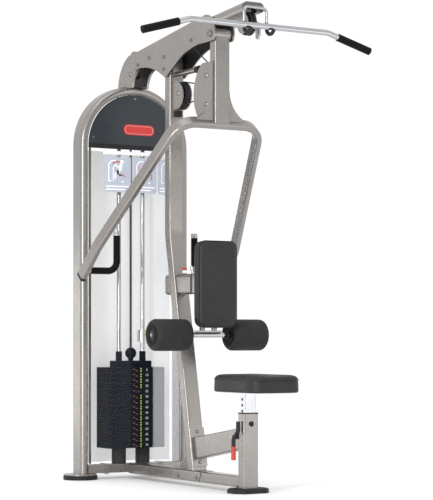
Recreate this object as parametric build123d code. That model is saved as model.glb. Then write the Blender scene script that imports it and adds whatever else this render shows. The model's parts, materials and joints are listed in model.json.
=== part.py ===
from build123d import *
import math
import os

# A seated lat-pulldown and vertical-row machine with its own weight stack.
# X is across the machine, the user sits on the -Y side and faces +Y, Z is up.
# The origin is on the floor, in the middle of the footprint.

os.makedirs("parts", exist_ok=True)

# ---------------------------------------------------------------- driving dimensions (mm)
TOWER_Y = 601.0           # centre plane of the weight tower
LEG_X = 268.0             # centre of each tower leg
ARCH_Z = 1563.0           # centre of the half-round top of the tower
LEG_ACROSS = 40.0         # flat-oval leg tube, measured along X
LEG_ALONG = 100.0         # and along Y
LEG_BASE_Z = 26.0
WALL = 3.0                # wall of every steel tube
FOOT_RADIUS = 80.0
FOOT_HEIGHT = 20.0

CROSS_LOW_Z = 28.0        # cross tube between the legs
CROSS_HIGH_Z = 68.0
CROSS_FRONT = 45.0        # its front face, ahead of the tower plane
CROSS_REAR = -15.0
CROSS_HALF = 150.0        # half length of the bolted-in middle piece

RAIL_LOW_Z = 22.0
RAIL_HIGH_Z = 72.0
RAIL_WIDTH = 75.0
SLEEVE_END = 702.0        # where the thicker rear part of the rail stops

COLUMN_WIDTH = 75.0       # along X
COLUMN_DEPTH = 50.0       # along Y
COLUMN_AHEAD = 411.0      # centre of the upright part
COLUMN_BEND_Z = 1130.0
COLUMN_TOP_Z = 1965.0
COLUMN_LEAN = 0.1935      # forward travel for each mm below the bend

POST_AHEAD = 1040.0       # seat post centre
POST_TOP_Z = 338.0
COLLAR_HEIGHT = 5.0
INNER_POST_X = 60.0
INNER_POST_Y = 38.0
SEAT_AHEAD = 1102.0       # the pad's centre stands further forward than the post
SEAT_HALF_X = 125.0
SEAT_HALF_Y = 187.0
SEAT_LOW_Z = 432.0
SEAT_HIGH_Z = 508.0
LEVER_X = -49.0           # pivot of the seat's lock lever
LEVER_Z = 240.0
LEVER_GRIP_X = -74.0      # centre of its hanging grip
LEVER_RADIUS = 9.0

PLATE_COUNT = 15
SELECTED_PLATES = 5       # plates that the stem lifts
PLATE_PITCH = 25.4
PLATE_GAP = 0.4
PLATE_LOW_Z = 142.0
PLATE_X = 300.0
PLATE_Y = 140.0
GUIDE_X = 64.0
GUIDE_RADIUS = 10.0
STEM_RADIUS = 12.0
CABLE_RADIUS = 4.0
STACK_TOP_Z = PLATE_LOW_Z + PLATE_COUNT * PLATE_PITCH
SOCKET_RADIUS = 27.0      # round cable socket on top of the stem
SOCKET_Z = STACK_TOP_Z + 66
STACK_CABLE_LOW_Z = SOCKET_Z + SOCKET_RADIUS + 0.5
STACK_CABLE_HIGH_Z = ARCH_Z + LEG_X - LEG_ACROSS / 2 - 6
INCREMENT_Z = STACK_TOP_Z + 148

PIVOT_AHEAD = 808.0       # axis of the row arm
PIVOT_Z = 1994.0
PIVOT_RADIUS = 12.5
RUNNING_GAP = 0.05        # radial clearance of a shaft in its bore
CROSSBAR_Z = 1601.0
YOKE_TILT = math.degrees(math.atan2(0.753, 0.658))   # slope of the yoke's plane below level
YOKE_THICK = 31.0         # section of the yoke's tube, measured in the yoke's plane
YOKE_DEPTH = 55.0         # and square to it
YOKE_ROUND = 10.0
YOKE_LENGTH = 870.0
YOKE_BEND_AT = 693.0      # where each arm turns slightly outwards
YOKE_BEND_X = 362.0
GUSSET_X = 125.0          # how far each gusset reaches along the yoke
GUSSET_TOP_Z = 1745.0
YOKE_CORNER_X = 208.0
YOKE_END_X = 380.0
HANDLE_X = 207.0
HANDLE_Z = 968.0
HANDLE_TOP_Z = 1150.0
HANDLE_AHEAD = 243.0

BOOM_OUTER_X = 52.0       # outer face of each boom plate
BOOM_PLATE = 6.0
LINER = 2.0
BOOM_TUBE_DEPTH = 45.0
BOOM_END_AHEAD = 1072.0

PULLEY_RADIUS = 52.0
PULLEY_HALF = 11.0
COLUMN_PULLEY_AHEAD = 490.0
COLUMN_PULLEY_Z = 1768.0
FRONT_PULLEY_AHEAD = 1040.0
FRONT_PULLEY_Z = 2008.0
BOOM_PULLEY_Z = 1935.0

BAR_AHEAD = 1135.0
BAR_Z = 1984.0
BAR_RADIUS = 13.0
BAR_BEND_X = 347.0
BAR_END_X = 567.0
BAR_END_Z = 1922.0
GRIP_START_X = 401.0
EYE_AHEAD = BAR_AHEAD - 18    # welded eye that hangs behind the bar
EYE_Z = BAR_Z - 40

CHEST_Z = 904.0
CHEST_FRONT = 808.0       # front face of the pad, ahead of the tower
CHEST_PAD_WIDTH = 203.0
CHEST_PAD_DEPTH = 60.0
CHEST_LOW_Z = 705.0
CHEST_HIGH_Z = 1091.0
PAD_BACK = CHEST_FRONT - CHEST_PAD_DEPTH
SLEEVE_X = 56.0
SLEEVE_Z = 92.0
SLEEVE_REAR = 378.0
SLEEVE_FRONT = 600.0
SLIDE_X = 44.0            # square tube that slides in the sleeve
SLIDE_Z = 80.0
SLIDE_GAP = 1.0
YOKE_BLOCK_REAR = 690.0   # rear face of the block that the roller posts pass through
KNOB_AHEAD = 575.0

ROLLER_AHEAD = 709.0
ROLLER_Z = 675.0
ROLLER_RADIUS = 70.0
ROLLER_IN_X = 106.0
ROLLER_OUT_X = 286.0
ROLLER_SHAFT_RADIUS = 12.0
ROLLER_POST_X = 31.0


# ---------------------------------------------------------------- small helpers
def ahead(distance):
    """Y of a point that stands this far in front of the tower's centre plane."""
    return TOWER_Y - distance


def block(x_range, ahead_range, z_range):
    """A plain box; its depth is given as distances in front of the tower."""
    x0, x1 = sorted(x_range)
    y0, y1 = sorted(ahead(a) for a in ahead_range)
    z0, z1 = sorted(z_range)
    centre = Pos((x0 + x1) / 2, (y0 + y1) / 2, (z0 + z1) / 2)
    return centre * Box(x1 - x0, y1 - y0, z1 - z0)


def rod_x(radius, x0, x1, distance, z):
    return Pos((x0 + x1) / 2, ahead(distance), z) * Rot(0, 90, 0) * Cylinder(radius, abs(x1 - x0))


def rod_y(radius, x, a0, a1, z):
    return Pos(x, ahead((a0 + a1) / 2), z) * Rot(90, 0, 0) * Cylinder(radius, abs(a1 - a0))


def rod_z(radius, x, distance, z0, z1):
    return Pos(x, ahead(distance), (z0 + z1) / 2) * Cylinder(radius, abs(z1 - z0))


def side_plane(x):
    """A plane across X, whose local x is the distance ahead and local y is Z."""
    return Plane(origin=(x, TOWER_Y, 0), x_dir=(0, -1, 0), z_dir=(-1, 0, 0))


def side_plate(face, x0, x1):
    """A plate cut from a side outline, between two X positions."""
    low, high = sorted((x0, x1))
    return extrude(side_plane(high) * face, amount=high - low)


def swept(path, section, x_dir):
    start = Plane(origin=path @ 0, x_dir=x_dir, z_dir=path % 0)
    return sweep(start * section, path=path)


def square_tube(path, width, depth, radius, x_dir=(1, 0, 0)):
    """The filled outside of a tube, and the tube itself with its wall."""
    outside = swept(path, RectangleRounded(width, depth, radius), x_dir)
    bore = RectangleRounded(width - 2 * WALL, depth - 2 * WALL, radius - WALL)
    return outside, outside - swept(path, bore, x_dir)


def bolt_head(radius, height):
    """A domed bolt head that stands on the XY plane."""
    head = Pos(0, 0, height / 2) * Cylinder(radius, height)
    rim = head.edges().filter_by(GeomType.CIRCLE).sort_by(Axis.Z)[-1]
    socket = Pos(0, 0, height - 1) * extrude(RegularPolygon(radius * 0.45, 6), amount=2)
    return fillet(rim, height * 0.5) - socket


def mirrored(shape):
    """The shape and its twin on the other side of the machine."""
    return Compound(children=[shape, mirror(shape, about=Plane.YZ)])


def save(node, shape):
    export_step(shape, "parts/" + node + ".step")
    return shape


# ---------------------------------------------------------------- tower
def arch_path():
    left_foot = (-LEG_X, TOWER_Y, LEG_BASE_Z)
    left_top = (-LEG_X, TOWER_Y, ARCH_Z)
    right_top = (LEG_X, TOWER_Y, ARCH_Z)
    right_foot = (LEG_X, TOWER_Y, LEG_BASE_Z)
    crown = (0, TOWER_Y, ARCH_Z + LEG_X)
    return Line(left_foot, left_top) + ThreePointArc(left_top, crown, right_top) + Line(right_top, right_foot)


def tower_outside():
    path = arch_path()
    return swept(path, RectangleRounded(LEG_ACROSS, LEG_ALONG, LEG_ACROSS / 2 - 0.5), (1, 0, 0))


def tower_arch():
    """Both legs and the arch in one bent tube, with foot plates and stubs for the cross tube."""
    path = arch_path()
    bore = RectangleRounded(LEG_ACROSS - 2 * WALL, LEG_ALONG - 2 * WALL, LEG_ACROSS / 2 - WALL - 0.5)
    tube = tower_outside() - swept(path, bore, (1, 0, 0))
    tube -= rod_z(CABLE_RADIUS * 3, 0, 0, ARCH_Z + 200, ARCH_Z + 320)
    for side in (-1, 1):
        plate = rod_z(FOOT_RADIUS - 4, side * LEG_X, 0, FOOT_HEIGHT, LEG_BASE_Z)
        stub = block((side * (CROSS_HALF + 6), side * 250), (CROSS_FRONT, CROSS_REAR), (CROSS_LOW_Z, CROSS_HIGH_Z))
        flange = block((side * CROSS_HALF, side * (CROSS_HALF + 6)), (CROSS_FRONT + 4, CROSS_REAR - 4),
                       (CROSS_LOW_Z - 4, CROSS_HIGH_Z + 4))
        tube += plate
        tube += stub + flange
    return tube


def rubber_feet():
    """Two round pads, each cut straight on its inner side."""
    pad = rod_z(FOOT_RADIUS, LEG_X, 0, 0, FOOT_HEIGHT)
    cut = block((LEG_X - FOOT_RADIUS, LEG_X - FOOT_RADIUS + 14), (-FOOT_RADIUS, FOOT_RADIUS), (0, FOOT_HEIGHT))
    return mirrored(pad - cut)


def cross_tube():
    x_range = (-CROSS_HALF + 6, CROSS_HALF - 6)
    tube = block(x_range, (CROSS_FRONT, CROSS_REAR), (CROSS_LOW_Z, CROSS_HIGH_Z))
    tube -= block((-CROSS_HALF, CROSS_HALF), (CROSS_FRONT - WALL, CROSS_REAR + WALL),
                  (CROSS_LOW_Z + WALL, CROSS_HIGH_Z - WALL))
    for side in (-1, 1):
        tube += block((side * (CROSS_HALF - 6), side * CROSS_HALF), (CROSS_FRONT + 4, CROSS_REAR - 4),
                      (CROSS_LOW_Z - 4, CROSS_HIGH_Z + 4))
    return tube


def header_panel():
    """Dark panel that fills the arch above the shields."""
    radius = LEG_X - LEG_ACROSS / 2 - 1
    disc = rod_y(radius, 0, 40, 43, ARCH_Z)
    upper = disc & block((-radius, radius), (39, 44), (ARCH_Z, ARCH_Z + radius))
    return upper + block((-radius, radius), (40, 43), (ARCH_Z - 13, ARCH_Z))


def shield_sheet(sagitta, edge_ahead, half_width, z0, z1, thickness):
    """A thin sheet that bows away from the tower: its middle stands further out than its edges."""
    def bow(extra):
        left = (-half_width, ahead(edge_ahead + extra))
        middle = (0, ahead(edge_ahead + extra + sagitta))
        right = (half_width, ahead(edge_ahead + extra))
        return ThreePointArc(left, middle, right)
    inner = bow(0)
    outer = bow(thickness)
    outline = inner + Line(inner @ 1, outer @ 1) + outer + Line(outer @ 0, inner @ 0)
    return Pos(0, 0, z0) * extrude(make_face(outline), amount=z1 - z0)


def front_shield():
    """Bowed front sheet with a tall round-ended window over the stack."""
    sheet = shield_sheet(42, 48, 241, 73, ARCH_Z - 15, 3)
    window = Plane(origin=(12, ahead(30), 0), x_dir=(1, 0, 0), z_dir=(0, -1, 0)) * (
        Pos(0, 412) * SlotOverall(615, 120, rotation=90))
    return sheet - extrude(window, amount=80)


def rear_shield():
    """A second bowed sheet behind the stack."""
    sheet = shield_sheet(34, 50, 241, 73, ARCH_Z - 15, 3)
    return Pos(0, 2 * TOWER_Y, 0) * mirror(sheet, about=Plane.XZ)


def guide_rods():
    top = ARCH_Z + math.sqrt((LEG_X - LEG_ACROSS / 2) ** 2 - GUIDE_X ** 2) - 3
    return mirrored(rod_z(GUIDE_RADIUS, GUIDE_X, 0, CROSS_HIGH_Z, top))


def stack_bumpers():
    ring = rod_z(34, GUIDE_X, 0, CROSS_HIGH_Z, PLATE_LOW_Z - 0.5) - rod_z(GUIDE_RADIUS + 0.3, GUIDE_X, 0, 0, 200)
    return mirrored(ring)


# ---------------------------------------------------------------- weight stack
def weight_plate(index):
    """One plate, counted from the bottom, with holes for the rods, the stem and its lock bar."""
    z0 = PLATE_LOW_Z + index * PLATE_PITCH
    z1 = z0 + PLATE_PITCH - PLATE_GAP
    plate = block((-PLATE_X / 2, PLATE_X / 2), (-PLATE_Y / 2, PLATE_Y / 2), (z0, z1))
    plate = fillet(plate.edges().filter_by(Axis.Z), 12)
    plate = chamfer(plate.faces().filter_by(Axis.Z).edges(), 1.5)
    for x in (-GUIDE_X, GUIDE_X):
        plate -= rod_z(GUIDE_RADIUS + 1.5, x, 0, z0 - 1, z1 + 1)
    plate -= rod_z(STEM_RADIUS + 1.0, 0, 0, z0 - 1, z1 + 1)
    return plate - rod_y(5.5, 0, 5, PLATE_Y / 2 + 1, (z0 + z1) / 2)


def plate_group(first, last):
    return Compound(children=[weight_plate(index) for index in range(first, last)])


def head_plate():
    """Carries the stem; its two collars guide it on the rods."""
    plate = block((-94, 94), (-40, 40), (STACK_TOP_Z, STACK_TOP_Z + 30))
    plate = fillet(plate.edges().filter_by(Axis.Z), 8)
    for x in (-GUIDE_X, GUIDE_X):
        plate += rod_z(15, x, 0, STACK_TOP_Z + 30, STACK_TOP_Z + 75)
        plate -= rod_z(GUIDE_RADIUS + 0.5, x, 0, STACK_TOP_Z - 1, STACK_TOP_Z + 80)
    return plate - rod_z(STEM_RADIUS, 0, 0, STACK_TOP_Z - 1, STACK_TOP_Z + 31)


def stack_stem():
    """Rod down through the plates, with the round cable socket on its top."""
    rod = rod_z(STEM_RADIUS, 0, 0, PLATE_LOW_Z + 10, STACK_TOP_Z + 45)
    return rod + Pos(0, ahead(0), SOCKET_Z) * Sphere(SOCKET_RADIUS)


def stack_cable():
    return rod_z(CABLE_RADIUS, 0, 0, STACK_CABLE_LOW_Z, STACK_CABLE_HIGH_Z)


def selected_toggle():
    """The slider on the lowest lifted plate that locks it to the stem."""
    z = PLATE_LOW_Z + (PLATE_COUNT - SELECTED_PLATES + 0.5) * PLATE_PITCH
    return block((-9, 9), (PLATE_Y / 2 + 0.3, PLATE_Y / 2 + 7), (z - 5, z + 5))


def increment_weight():
    """Small add-on weight that waits on the right guide rod, with a knob on its front."""
    z = INCREMENT_Z
    body = rod_z(26, GUIDE_X, 0, z - 28, z + 28) - rod_z(GUIDE_RADIUS + 0.5, GUIDE_X, 0, z - 40, z + 40)
    return body + rod_y(9, GUIDE_X, 25, 46, z + 14)


# ---------------------------------------------------------------- floor frame
def base_rail():
    """Rail from the cross tube to the seat post; a thicker sleeve covers its rear part."""
    half = RAIL_WIDTH / 2
    rail = block((-half + 3, half - 3), (CROSS_FRONT, POST_AHEAD - 25), (RAIL_LOW_Z, RAIL_HIGH_Z - 3))
    rail = fillet(rail.edges().filter_by(Axis.Y), 8)
    sleeve = block((-half, half), (CROSS_FRONT, SLEEVE_END), (RAIL_LOW_Z, RAIL_HIGH_Z))
    sleeve = fillet(sleeve.edges().filter_by(Axis.Y), 9)
    nose = rod_x(RAIL_HIGH_Z - RAIL_LOW_Z, -half - 1, half + 1, SLEEVE_END + 34, RAIL_LOW_Z - 8)
    rail += sleeve - nose
    inside = block((-half + 6, half - 6), (CROSS_FRONT + 1, POST_AHEAD - 31), (RAIL_LOW_Z + 3, RAIL_HIGH_Z - 6))
    return rail - inside


def column_path():
    foot_ahead = COLUMN_AHEAD + (COLUMN_BEND_Z - RAIL_HIGH_Z + 20) * COLUMN_LEAN
    foot = (0, ahead(foot_ahead), RAIL_HIGH_Z - 20)
    bend = (0, ahead(COLUMN_AHEAD), COLUMN_BEND_Z)
    top = (0, ahead(COLUMN_AHEAD), COLUMN_TOP_Z)
    return FilletPolyline(foot, bend, top, radius=220)


def column_outside():
    return square_tube(column_path(), COLUMN_WIDTH, COLUMN_DEPTH, 9)[0]


def chest_sleeve():
    sleeve = block((-SLEEVE_X / 2, SLEEVE_X / 2), (SLEEVE_REAR, SLEEVE_FRONT),
                   (CHEST_Z - SLEEVE_Z / 2, CHEST_Z + SLEEVE_Z / 2))
    return fillet(sleeve.edges().filter_by(Axis.Y), 16)


def column():
    """Leaning column with the chest pad's sleeve through it and bosses for the boom plates."""
    tube = square_tube(column_path(), COLUMN_WIDTH, COLUMN_DEPTH, 9)[1]
    tube -= block((-60, 60), (400, 760), (0, RAIL_HIGH_Z))
    tube += chest_sleeve()
    opening = block((-SLIDE_X / 2 - SLIDE_GAP, SLIDE_X / 2 + SLIDE_GAP), (SLEEVE_REAR - 1, SLEEVE_FRONT + 1),
                    (CHEST_Z - SLIDE_Z / 2 - SLIDE_GAP, CHEST_Z + SLIDE_Z / 2 + SLIDE_GAP))
    tube -= opening
    tube -= rod_z(7, 0, KNOB_AHEAD, CHEST_Z + 30, CHEST_Z + 60)
    for z in (1942, 1887):
        for side in (-1, 1):
            tube += rod_x(16, side * COLUMN_WIDTH / 2, side * (BOOM_OUTER_X - BOOM_PLATE - LINER), 401, z)
    gusset = Polygon((600, RAIL_HIGH_Z), (460, RAIL_HIGH_Z), (580, 200), align=None)
    return tube + (side_plate(gusset, -4, 4) - column_outside())


def strut():
    """Brace from the column's front face, low down, to the seat post."""
    outline = Polygon((600, 116), (POST_AHEAD - 25, 186), (POST_AHEAD - 25, 278), (600, 216), align=None)
    brace = fillet(side_plate(outline, -25, 25).edges().filter_by(Axis.X, reverse=True).group_by(Axis.X)[0], 6)
    hollow = Polygon((640, 128), (POST_AHEAD - 29, 190), (POST_AHEAD - 29, 272), (640, 216), align=None)
    brace -= side_plate(hollow, -21, 21)
    lean = math.degrees(math.atan(COLUMN_LEAN))
    flange_centre = Pos(0, ahead(COLUMN_AHEAD + (COLUMN_BEND_Z - 175) * COLUMN_LEAN + 30.5), 175)
    flange = flange_centre * Rot(-lean, 0, 0) * Box(COLUMN_WIDTH - 4, 8, 175)
    return (brace + flange) - column_outside() - block((-60, 60), (500, 800), (0, RAIL_HIGH_Z + 0.2))


def seat_post():
    """Outer post with a hole in its front face for the seat's lock."""
    post = block((-37.5, 37.5), (POST_AHEAD - 25, POST_AHEAD + 25), (FOOT_HEIGHT, POST_TOP_Z))
    post = fillet(post.edges().filter_by(Axis.Z), 8)
    post -= block((-INNER_POST_X / 2 - 1.5, INNER_POST_X / 2 + 1.5),
                  (POST_AHEAD - INNER_POST_Y / 2 - 1.5, POST_AHEAD + INNER_POST_Y / 2 + 1.5), (40, POST_TOP_Z + 1))
    post -= rod_y(13, 0, POST_AHEAD + 18, POST_AHEAD + 30, 295)
    for side in (-1, 1):
        post += block((LEVER_X - 8, -37.5), (POST_AHEAD + side * 14.6, POST_AHEAD + side * 19),
                      (LEVER_Z - 10, LEVER_Z + 10))
    return post + rod_y(4, LEVER_X, POST_AHEAD - 22, POST_AHEAD + 22, LEVER_Z)


def post_collar():
    collar = block((-39, 39), (POST_AHEAD - 26.5, POST_AHEAD + 26.5), (POST_TOP_Z, POST_TOP_Z + COLLAR_HEIGHT))
    collar = fillet(collar.edges().filter_by(Axis.Z), 9)
    return collar - block((-INNER_POST_X / 2 - 0.6, INNER_POST_X / 2 + 0.6),
                          (POST_AHEAD - INNER_POST_Y / 2 - 0.6, POST_AHEAD + INNER_POST_Y / 2 + 0.6),
                          (POST_TOP_Z - 1, POST_TOP_Z + COLLAR_HEIGHT + 1))


def front_foot():
    """Rubber plate under the seat post, with its corners cut off."""
    foot = block((-88, 88), (POST_AHEAD - 62, POST_AHEAD + 62), (0, FOOT_HEIGHT))
    foot = chamfer(foot.edges().filter_by(Axis.Z), 34)
    return chamfer(foot.faces().sort_by(Axis.Z)[-1].edges(), 5)


def frame_bolts():
    """Every bolt head that shows on the fixed frame."""
    heads = []
    for side in (-1, 1):
        for distance, z in ((646, 1986), (267, 1954), (401, 1942), (401, 1887), (160, 1935)):
            heads.append(Pos(side * BOOM_OUTER_X, ahead(distance), z) * Rot(0, side * 90, 0) * bolt_head(9, 5))
        for z in (CROSS_LOW_Z + 10, CROSS_HIGH_Z - 10):
            heads.append(Pos(side * (CROSS_HALF - 20), ahead(CROSS_FRONT), z) * Rot(90, 0, 0) * bolt_head(6, 4))
        for distance in (508, 667):
            heads.append(Pos(side * RAIL_WIDTH / 2, ahead(distance), 42) * Rot(0, side * 90, 0) * bolt_head(8, 5))
        heads.append(Pos(side * 223, ahead(43), 1600) * Rot(90, 0, 0) * bolt_head(6, 3))
    heads.append(Pos(0, ahead(43), 1792) * Rot(90, 0, 0) * bolt_head(6, 3))
    lean = math.degrees(math.atan(COLUMN_LEAN))
    for z in (107, 244):
        face = COLUMN_AHEAD + (COLUMN_BEND_Z - z) * COLUMN_LEAN + 34.6
        heads.append(Pos(0, ahead(face), z) * Rot(90 - lean, 0, 0) * bolt_head(8, 5))
    return Compound(children=heads)


# ---------------------------------------------------------------- boom
def boom_outline():
    """Side outline of a boom plate, as distance ahead and height."""
    rear_top = (139, 1994)
    nose_top = (757, 2079)
    nose = (846, 2018)
    chin = (838, 1962)
    hollow = (723, 1960)
    tip = (418, 1846)
    lip = (355, 1879)
    rear_low = (143, 1916)
    curve = Line(rear_top, nose_top)
    curve += ThreePointArc(nose_top, (820, 2062), nose)
    curve += ThreePointArc(nose, (850, 1988), chin)
    curve += Line(chin, hollow)
    curve += ThreePointArc(hollow, (593, 1937), (505, 1892))
    curve += Line((505, 1892), tip)
    curve += Line(tip, lip)
    curve += ThreePointArc(lip, (262, 1909), rear_low)
    curve += Line(rear_low, rear_top)
    return make_face(curve)


def boom_plates():
    plate = side_plate(boom_outline(), BOOM_OUTER_X - BOOM_PLATE, BOOM_OUTER_X)
    plate -= rod_x(PIVOT_RADIUS, 0, 100, PIVOT_AHEAD, PIVOT_Z)
    return mirrored(plate)


def boom_liner():
    """Black plastic lining on the inner faces of the boom plates, behind the arm's hub."""
    inner = BOOM_OUTER_X - BOOM_PLATE
    sheet = side_plate(boom_outline(), inner - LINER, inner)
    sheet &= block((0, 100), (160, 740), (1800, 2060))
    return mirrored(sheet)


def boom_tube_path():
    return Line((0, ahead(740), 2041), (0, ahead(BOOM_END_AHEAD), 2070.5))


def boom_tube():
    """Flat-oval tube that carries the front pulley and the bar's hooks."""
    tube = square_tube(boom_tube_path(), 2 * BOOM_OUTER_X, BOOM_TUBE_DEPTH, 20)[1]
    for side in (-1, 1):
        slit = block((side * (BOOM_OUTER_X - BOOM_PLATE), side * (BOOM_OUTER_X + 1)), (700, 850), (1900, 2079.5))
        tube -= slit
    tube -= block((-PULLEY_HALF - 3, PULLEY_HALF + 3), (970, 1090), (2000, 2066))
    return tube & block((-200, 200), (745, 1200), (1900, 2200))


def boom_end_cap():
    tube_path = boom_tube_path()
    path = Line(tube_path @ 1, tube_path @ 1 + (tube_path % 1) * 12)
    cap = swept(path, RectangleRounded(2 * BOOM_OUTER_X, BOOM_TUBE_DEPTH, 20), (1, 0, 0))
    return cap - block((-PULLEY_HALF - 3, PULLEY_HALF + 3), (1000, 1100), (2000, 2066))


def rear_bracket():
    """Two curved plates from the top of the arch to the rear of the boom, with a lug across each joint."""
    curve = Line((-38, 1838), (-40, 1852))
    curve += ThreePointArc((-40, 1852), (-8, 1935), (66, 1990))
    curve += Line((66, 1990), (139, 2000))
    curve += Line((139, 2000), (150, 1914))
    curve += ThreePointArc((150, 1914), (112, 1885), (94, 1838))
    curve += Line((94, 1838), (-38, 1838))
    plate = side_plate(make_face(curve), 34, 46)
    lug = side_plate(Pos(126, 1958) * SlotOverall(92, 34, rotation=97), BOOM_OUTER_X - BOOM_PLATE, BOOM_OUTER_X - 0.5)
    lug -= side_plate(boom_outline(), 0, 100)
    plate = plate - tower_outside()
    plate -= rod_x(PIVOT_RADIUS, 0, 35, 0, BOOM_PULLEY_Z)
    return mirrored(plate + lug)


def bar_holder():
    """Chrome rod bent to a U over the end of the boom."""
    low_z = BAR_Z + 22
    path = FilletPolyline((-57, ahead(1097), low_z), (-57, ahead(1097), 2068), (57, ahead(1097), 2068),
                          (57, ahead(1097), low_z), radius=22)
    rod = swept(path, Circle(6.5), (1, 0, 0))
    tab = block((-20, 20), (BOOM_END_AHEAD + 12.2, 1097), (2064, 2074))
    return rod + (tab - boom_end_cap())


def holder_hooks():
    """Rubber-covered curls that the bar lies in."""
    hooks = []
    for x in (-57, 57):
        leg_top = (x, ahead(1097), BAR_Z + 22)
        leg_low = (x, ahead(1097), BAR_Z + 1)
        leg = Line(leg_top, leg_low)
        curl = ThreePointArc(leg_low, (x, ahead(1127), BAR_Z - 29), (x, ahead(1154), BAR_Z - 12))
        path = leg + curl
        hook = swept(path, Circle(8), (1, 0, 0))
        hooks.append(hook)
    return Compound(children=hooks)


def pulley(radius, half_width, bore):
    """A grooved wheel on the X axis."""
    wheel = Rot(0, 90, 0) * Cylinder(radius, 2 * half_width)
    groove = Rot(0, 90, 0) * Torus(radius + 1, 5)
    wheel -= groove
    for side in (-1, 1):
        recess = Pos(side * half_width, 0, 0) * Rot(0, 90, 0) * Cylinder(radius - 12, 8)
        hub = Pos(side * (half_width - 2), 0, 0) * Rot(0, 90, 0) * Cylinder(14, 4)
        wheel = wheel - recess + hub
    return wheel - Rot(0, 90, 0) * Cylinder(bore, 4 * half_width)


def placed_pulley(distance, z):
    return Pos(0, ahead(distance), z) * pulley(PULLEY_RADIUS, PULLEY_HALF, 6 + RUNNING_GAP)


def front_pulley_plates():
    """Rounded cheeks under the boom, and the axle of the front pulley."""
    outline = Pos(FRONT_PULLEY_AHEAD - 12, FRONT_PULLEY_Z) * Circle(44)
    outline += Pos(FRONT_PULLEY_AHEAD - 45, FRONT_PULLEY_Z + 22) * Rectangle(70, 66)
    cheek = side_plate(outline, PULLEY_HALF + 4, PULLEY_HALF + 9)
    cheek -= square_tube(boom_tube_path(), 2 * BOOM_OUTER_X, BOOM_TUBE_DEPTH, 20)[0]
    axle = rod_x(6, -PULLEY_HALF - 13, PULLEY_HALF + 13, FRONT_PULLEY_AHEAD, FRONT_PULLEY_Z)
    return cheek + mirror(cheek, about=Plane.YZ) + axle


def column_bracket():
    """Channel on the column's front face that holds the column pulley."""
    face = COLUMN_AHEAD + COLUMN_DEPTH / 2
    back = block((-25, 25), (face, face + 4), (COLUMN_PULLEY_Z - 105, COLUMN_PULLEY_Z + 66))
    back -= block((-PULLEY_HALF - 2, PULLEY_HALF + 2), (face - 1, face + 5),
                  (COLUMN_PULLEY_Z - 30, COLUMN_PULLEY_Z + 30))
    top = (face, COLUMN_PULLEY_Z + 48)
    low = (face, COLUMN_PULLEY_Z - 62)
    curve = Line(low, top) + ThreePointArc(top, (face + 94, COLUMN_PULLEY_Z - 6), low)
    cheek = side_plate(make_face(curve), 20, 25)
    axle = rod_x(6, -29, 29, COLUMN_PULLEY_AHEAD, COLUMN_PULLEY_Z)
    return back + cheek + mirror(cheek, about=Plane.YZ) + axle


def arm_stop():
    face = COLUMN_AHEAD + COLUMN_DEPTH / 2
    return rod_y(12.5, 0, face, 612, 1862) + block((-25, 25), (face, face + 6), (1840, 1880))


def arm_stop_rubber():
    return rod_y(16, 0, 612, 640, 1862)


def arm_pivot_shaft():
    """Shaft through both boom plates and the arm's hub, with a large head at each end."""
    shaft = rod_x(PIVOT_RADIUS, -BOOM_OUTER_X, BOOM_OUTER_X, PIVOT_AHEAD, PIVOT_Z)
    for side in (-1, 1):
        shaft += Pos(side * BOOM_OUTER_X, ahead(PIVOT_AHEAD), PIVOT_Z) * Rot(0, side * 90, 0) * bolt_head(17, 7)
    return shaft


# ---------------------------------------------------------------- row arm
def arm_hub():
    return rod_x(29, -43, 43, PIVOT_AHEAD, PIVOT_Z)


def yoke_plane():
    tilt = math.radians(YOKE_TILT)
    return Plane(origin=(0, ahead(PIVOT_AHEAD), CROSSBAR_Z), x_dir=(1, 0, 0),
                 z_dir=(0, math.sin(tilt), math.cos(tilt)))


def yoke_path():
    points = [(-YOKE_END_X, YOKE_LENGTH), (-YOKE_BEND_X, YOKE_BEND_AT), (-YOKE_CORNER_X, 0),
              (YOKE_CORNER_X, 0), (YOKE_BEND_X, YOKE_BEND_AT), (YOKE_END_X, YOKE_LENGTH)]
    return yoke_plane() * FilletPolyline(*points, radius=[300, 105, 105, 300])


def yoke_tube():
    tilt = math.radians(YOKE_TILT)
    return square_tube(yoke_path(), YOKE_DEPTH, YOKE_THICK, YOKE_ROUND, (0, math.sin(tilt), math.cos(tilt)))


def yoke_outside():
    return yoke_tube()[0]


def arm_yoke():
    return yoke_tube()[1]


def arm_gusset():
    """Web with a hollow curved edge, from the stem's side down onto the yoke."""
    low_z = CROSSBAR_Z + 5
    edge = Line((30, low_z), (GUSSET_X, low_z))
    edge += Line((GUSSET_X, low_z), (GUSSET_X, low_z + 12))
    edge += ThreePointArc((GUSSET_X, low_z + 12), (73, 1662), (46, GUSSET_TOP_Z))
    edge += Line((46, GUSSET_TOP_Z), (30, GUSSET_TOP_Z))
    edge += Line((30, GUSSET_TOP_Z), (30, low_z))
    front = Plane(origin=(0, ahead(PIVOT_AHEAD - 6), 0), x_dir=(1, 0, 0), z_dir=(0, -1, 0))
    web = extrude(front * make_face(edge), amount=16)
    return web - block((0, 36), (PIVOT_AHEAD - 30, PIVOT_AHEAD + 30), (low_z - 1, GUSSET_TOP_Z + 1))


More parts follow.
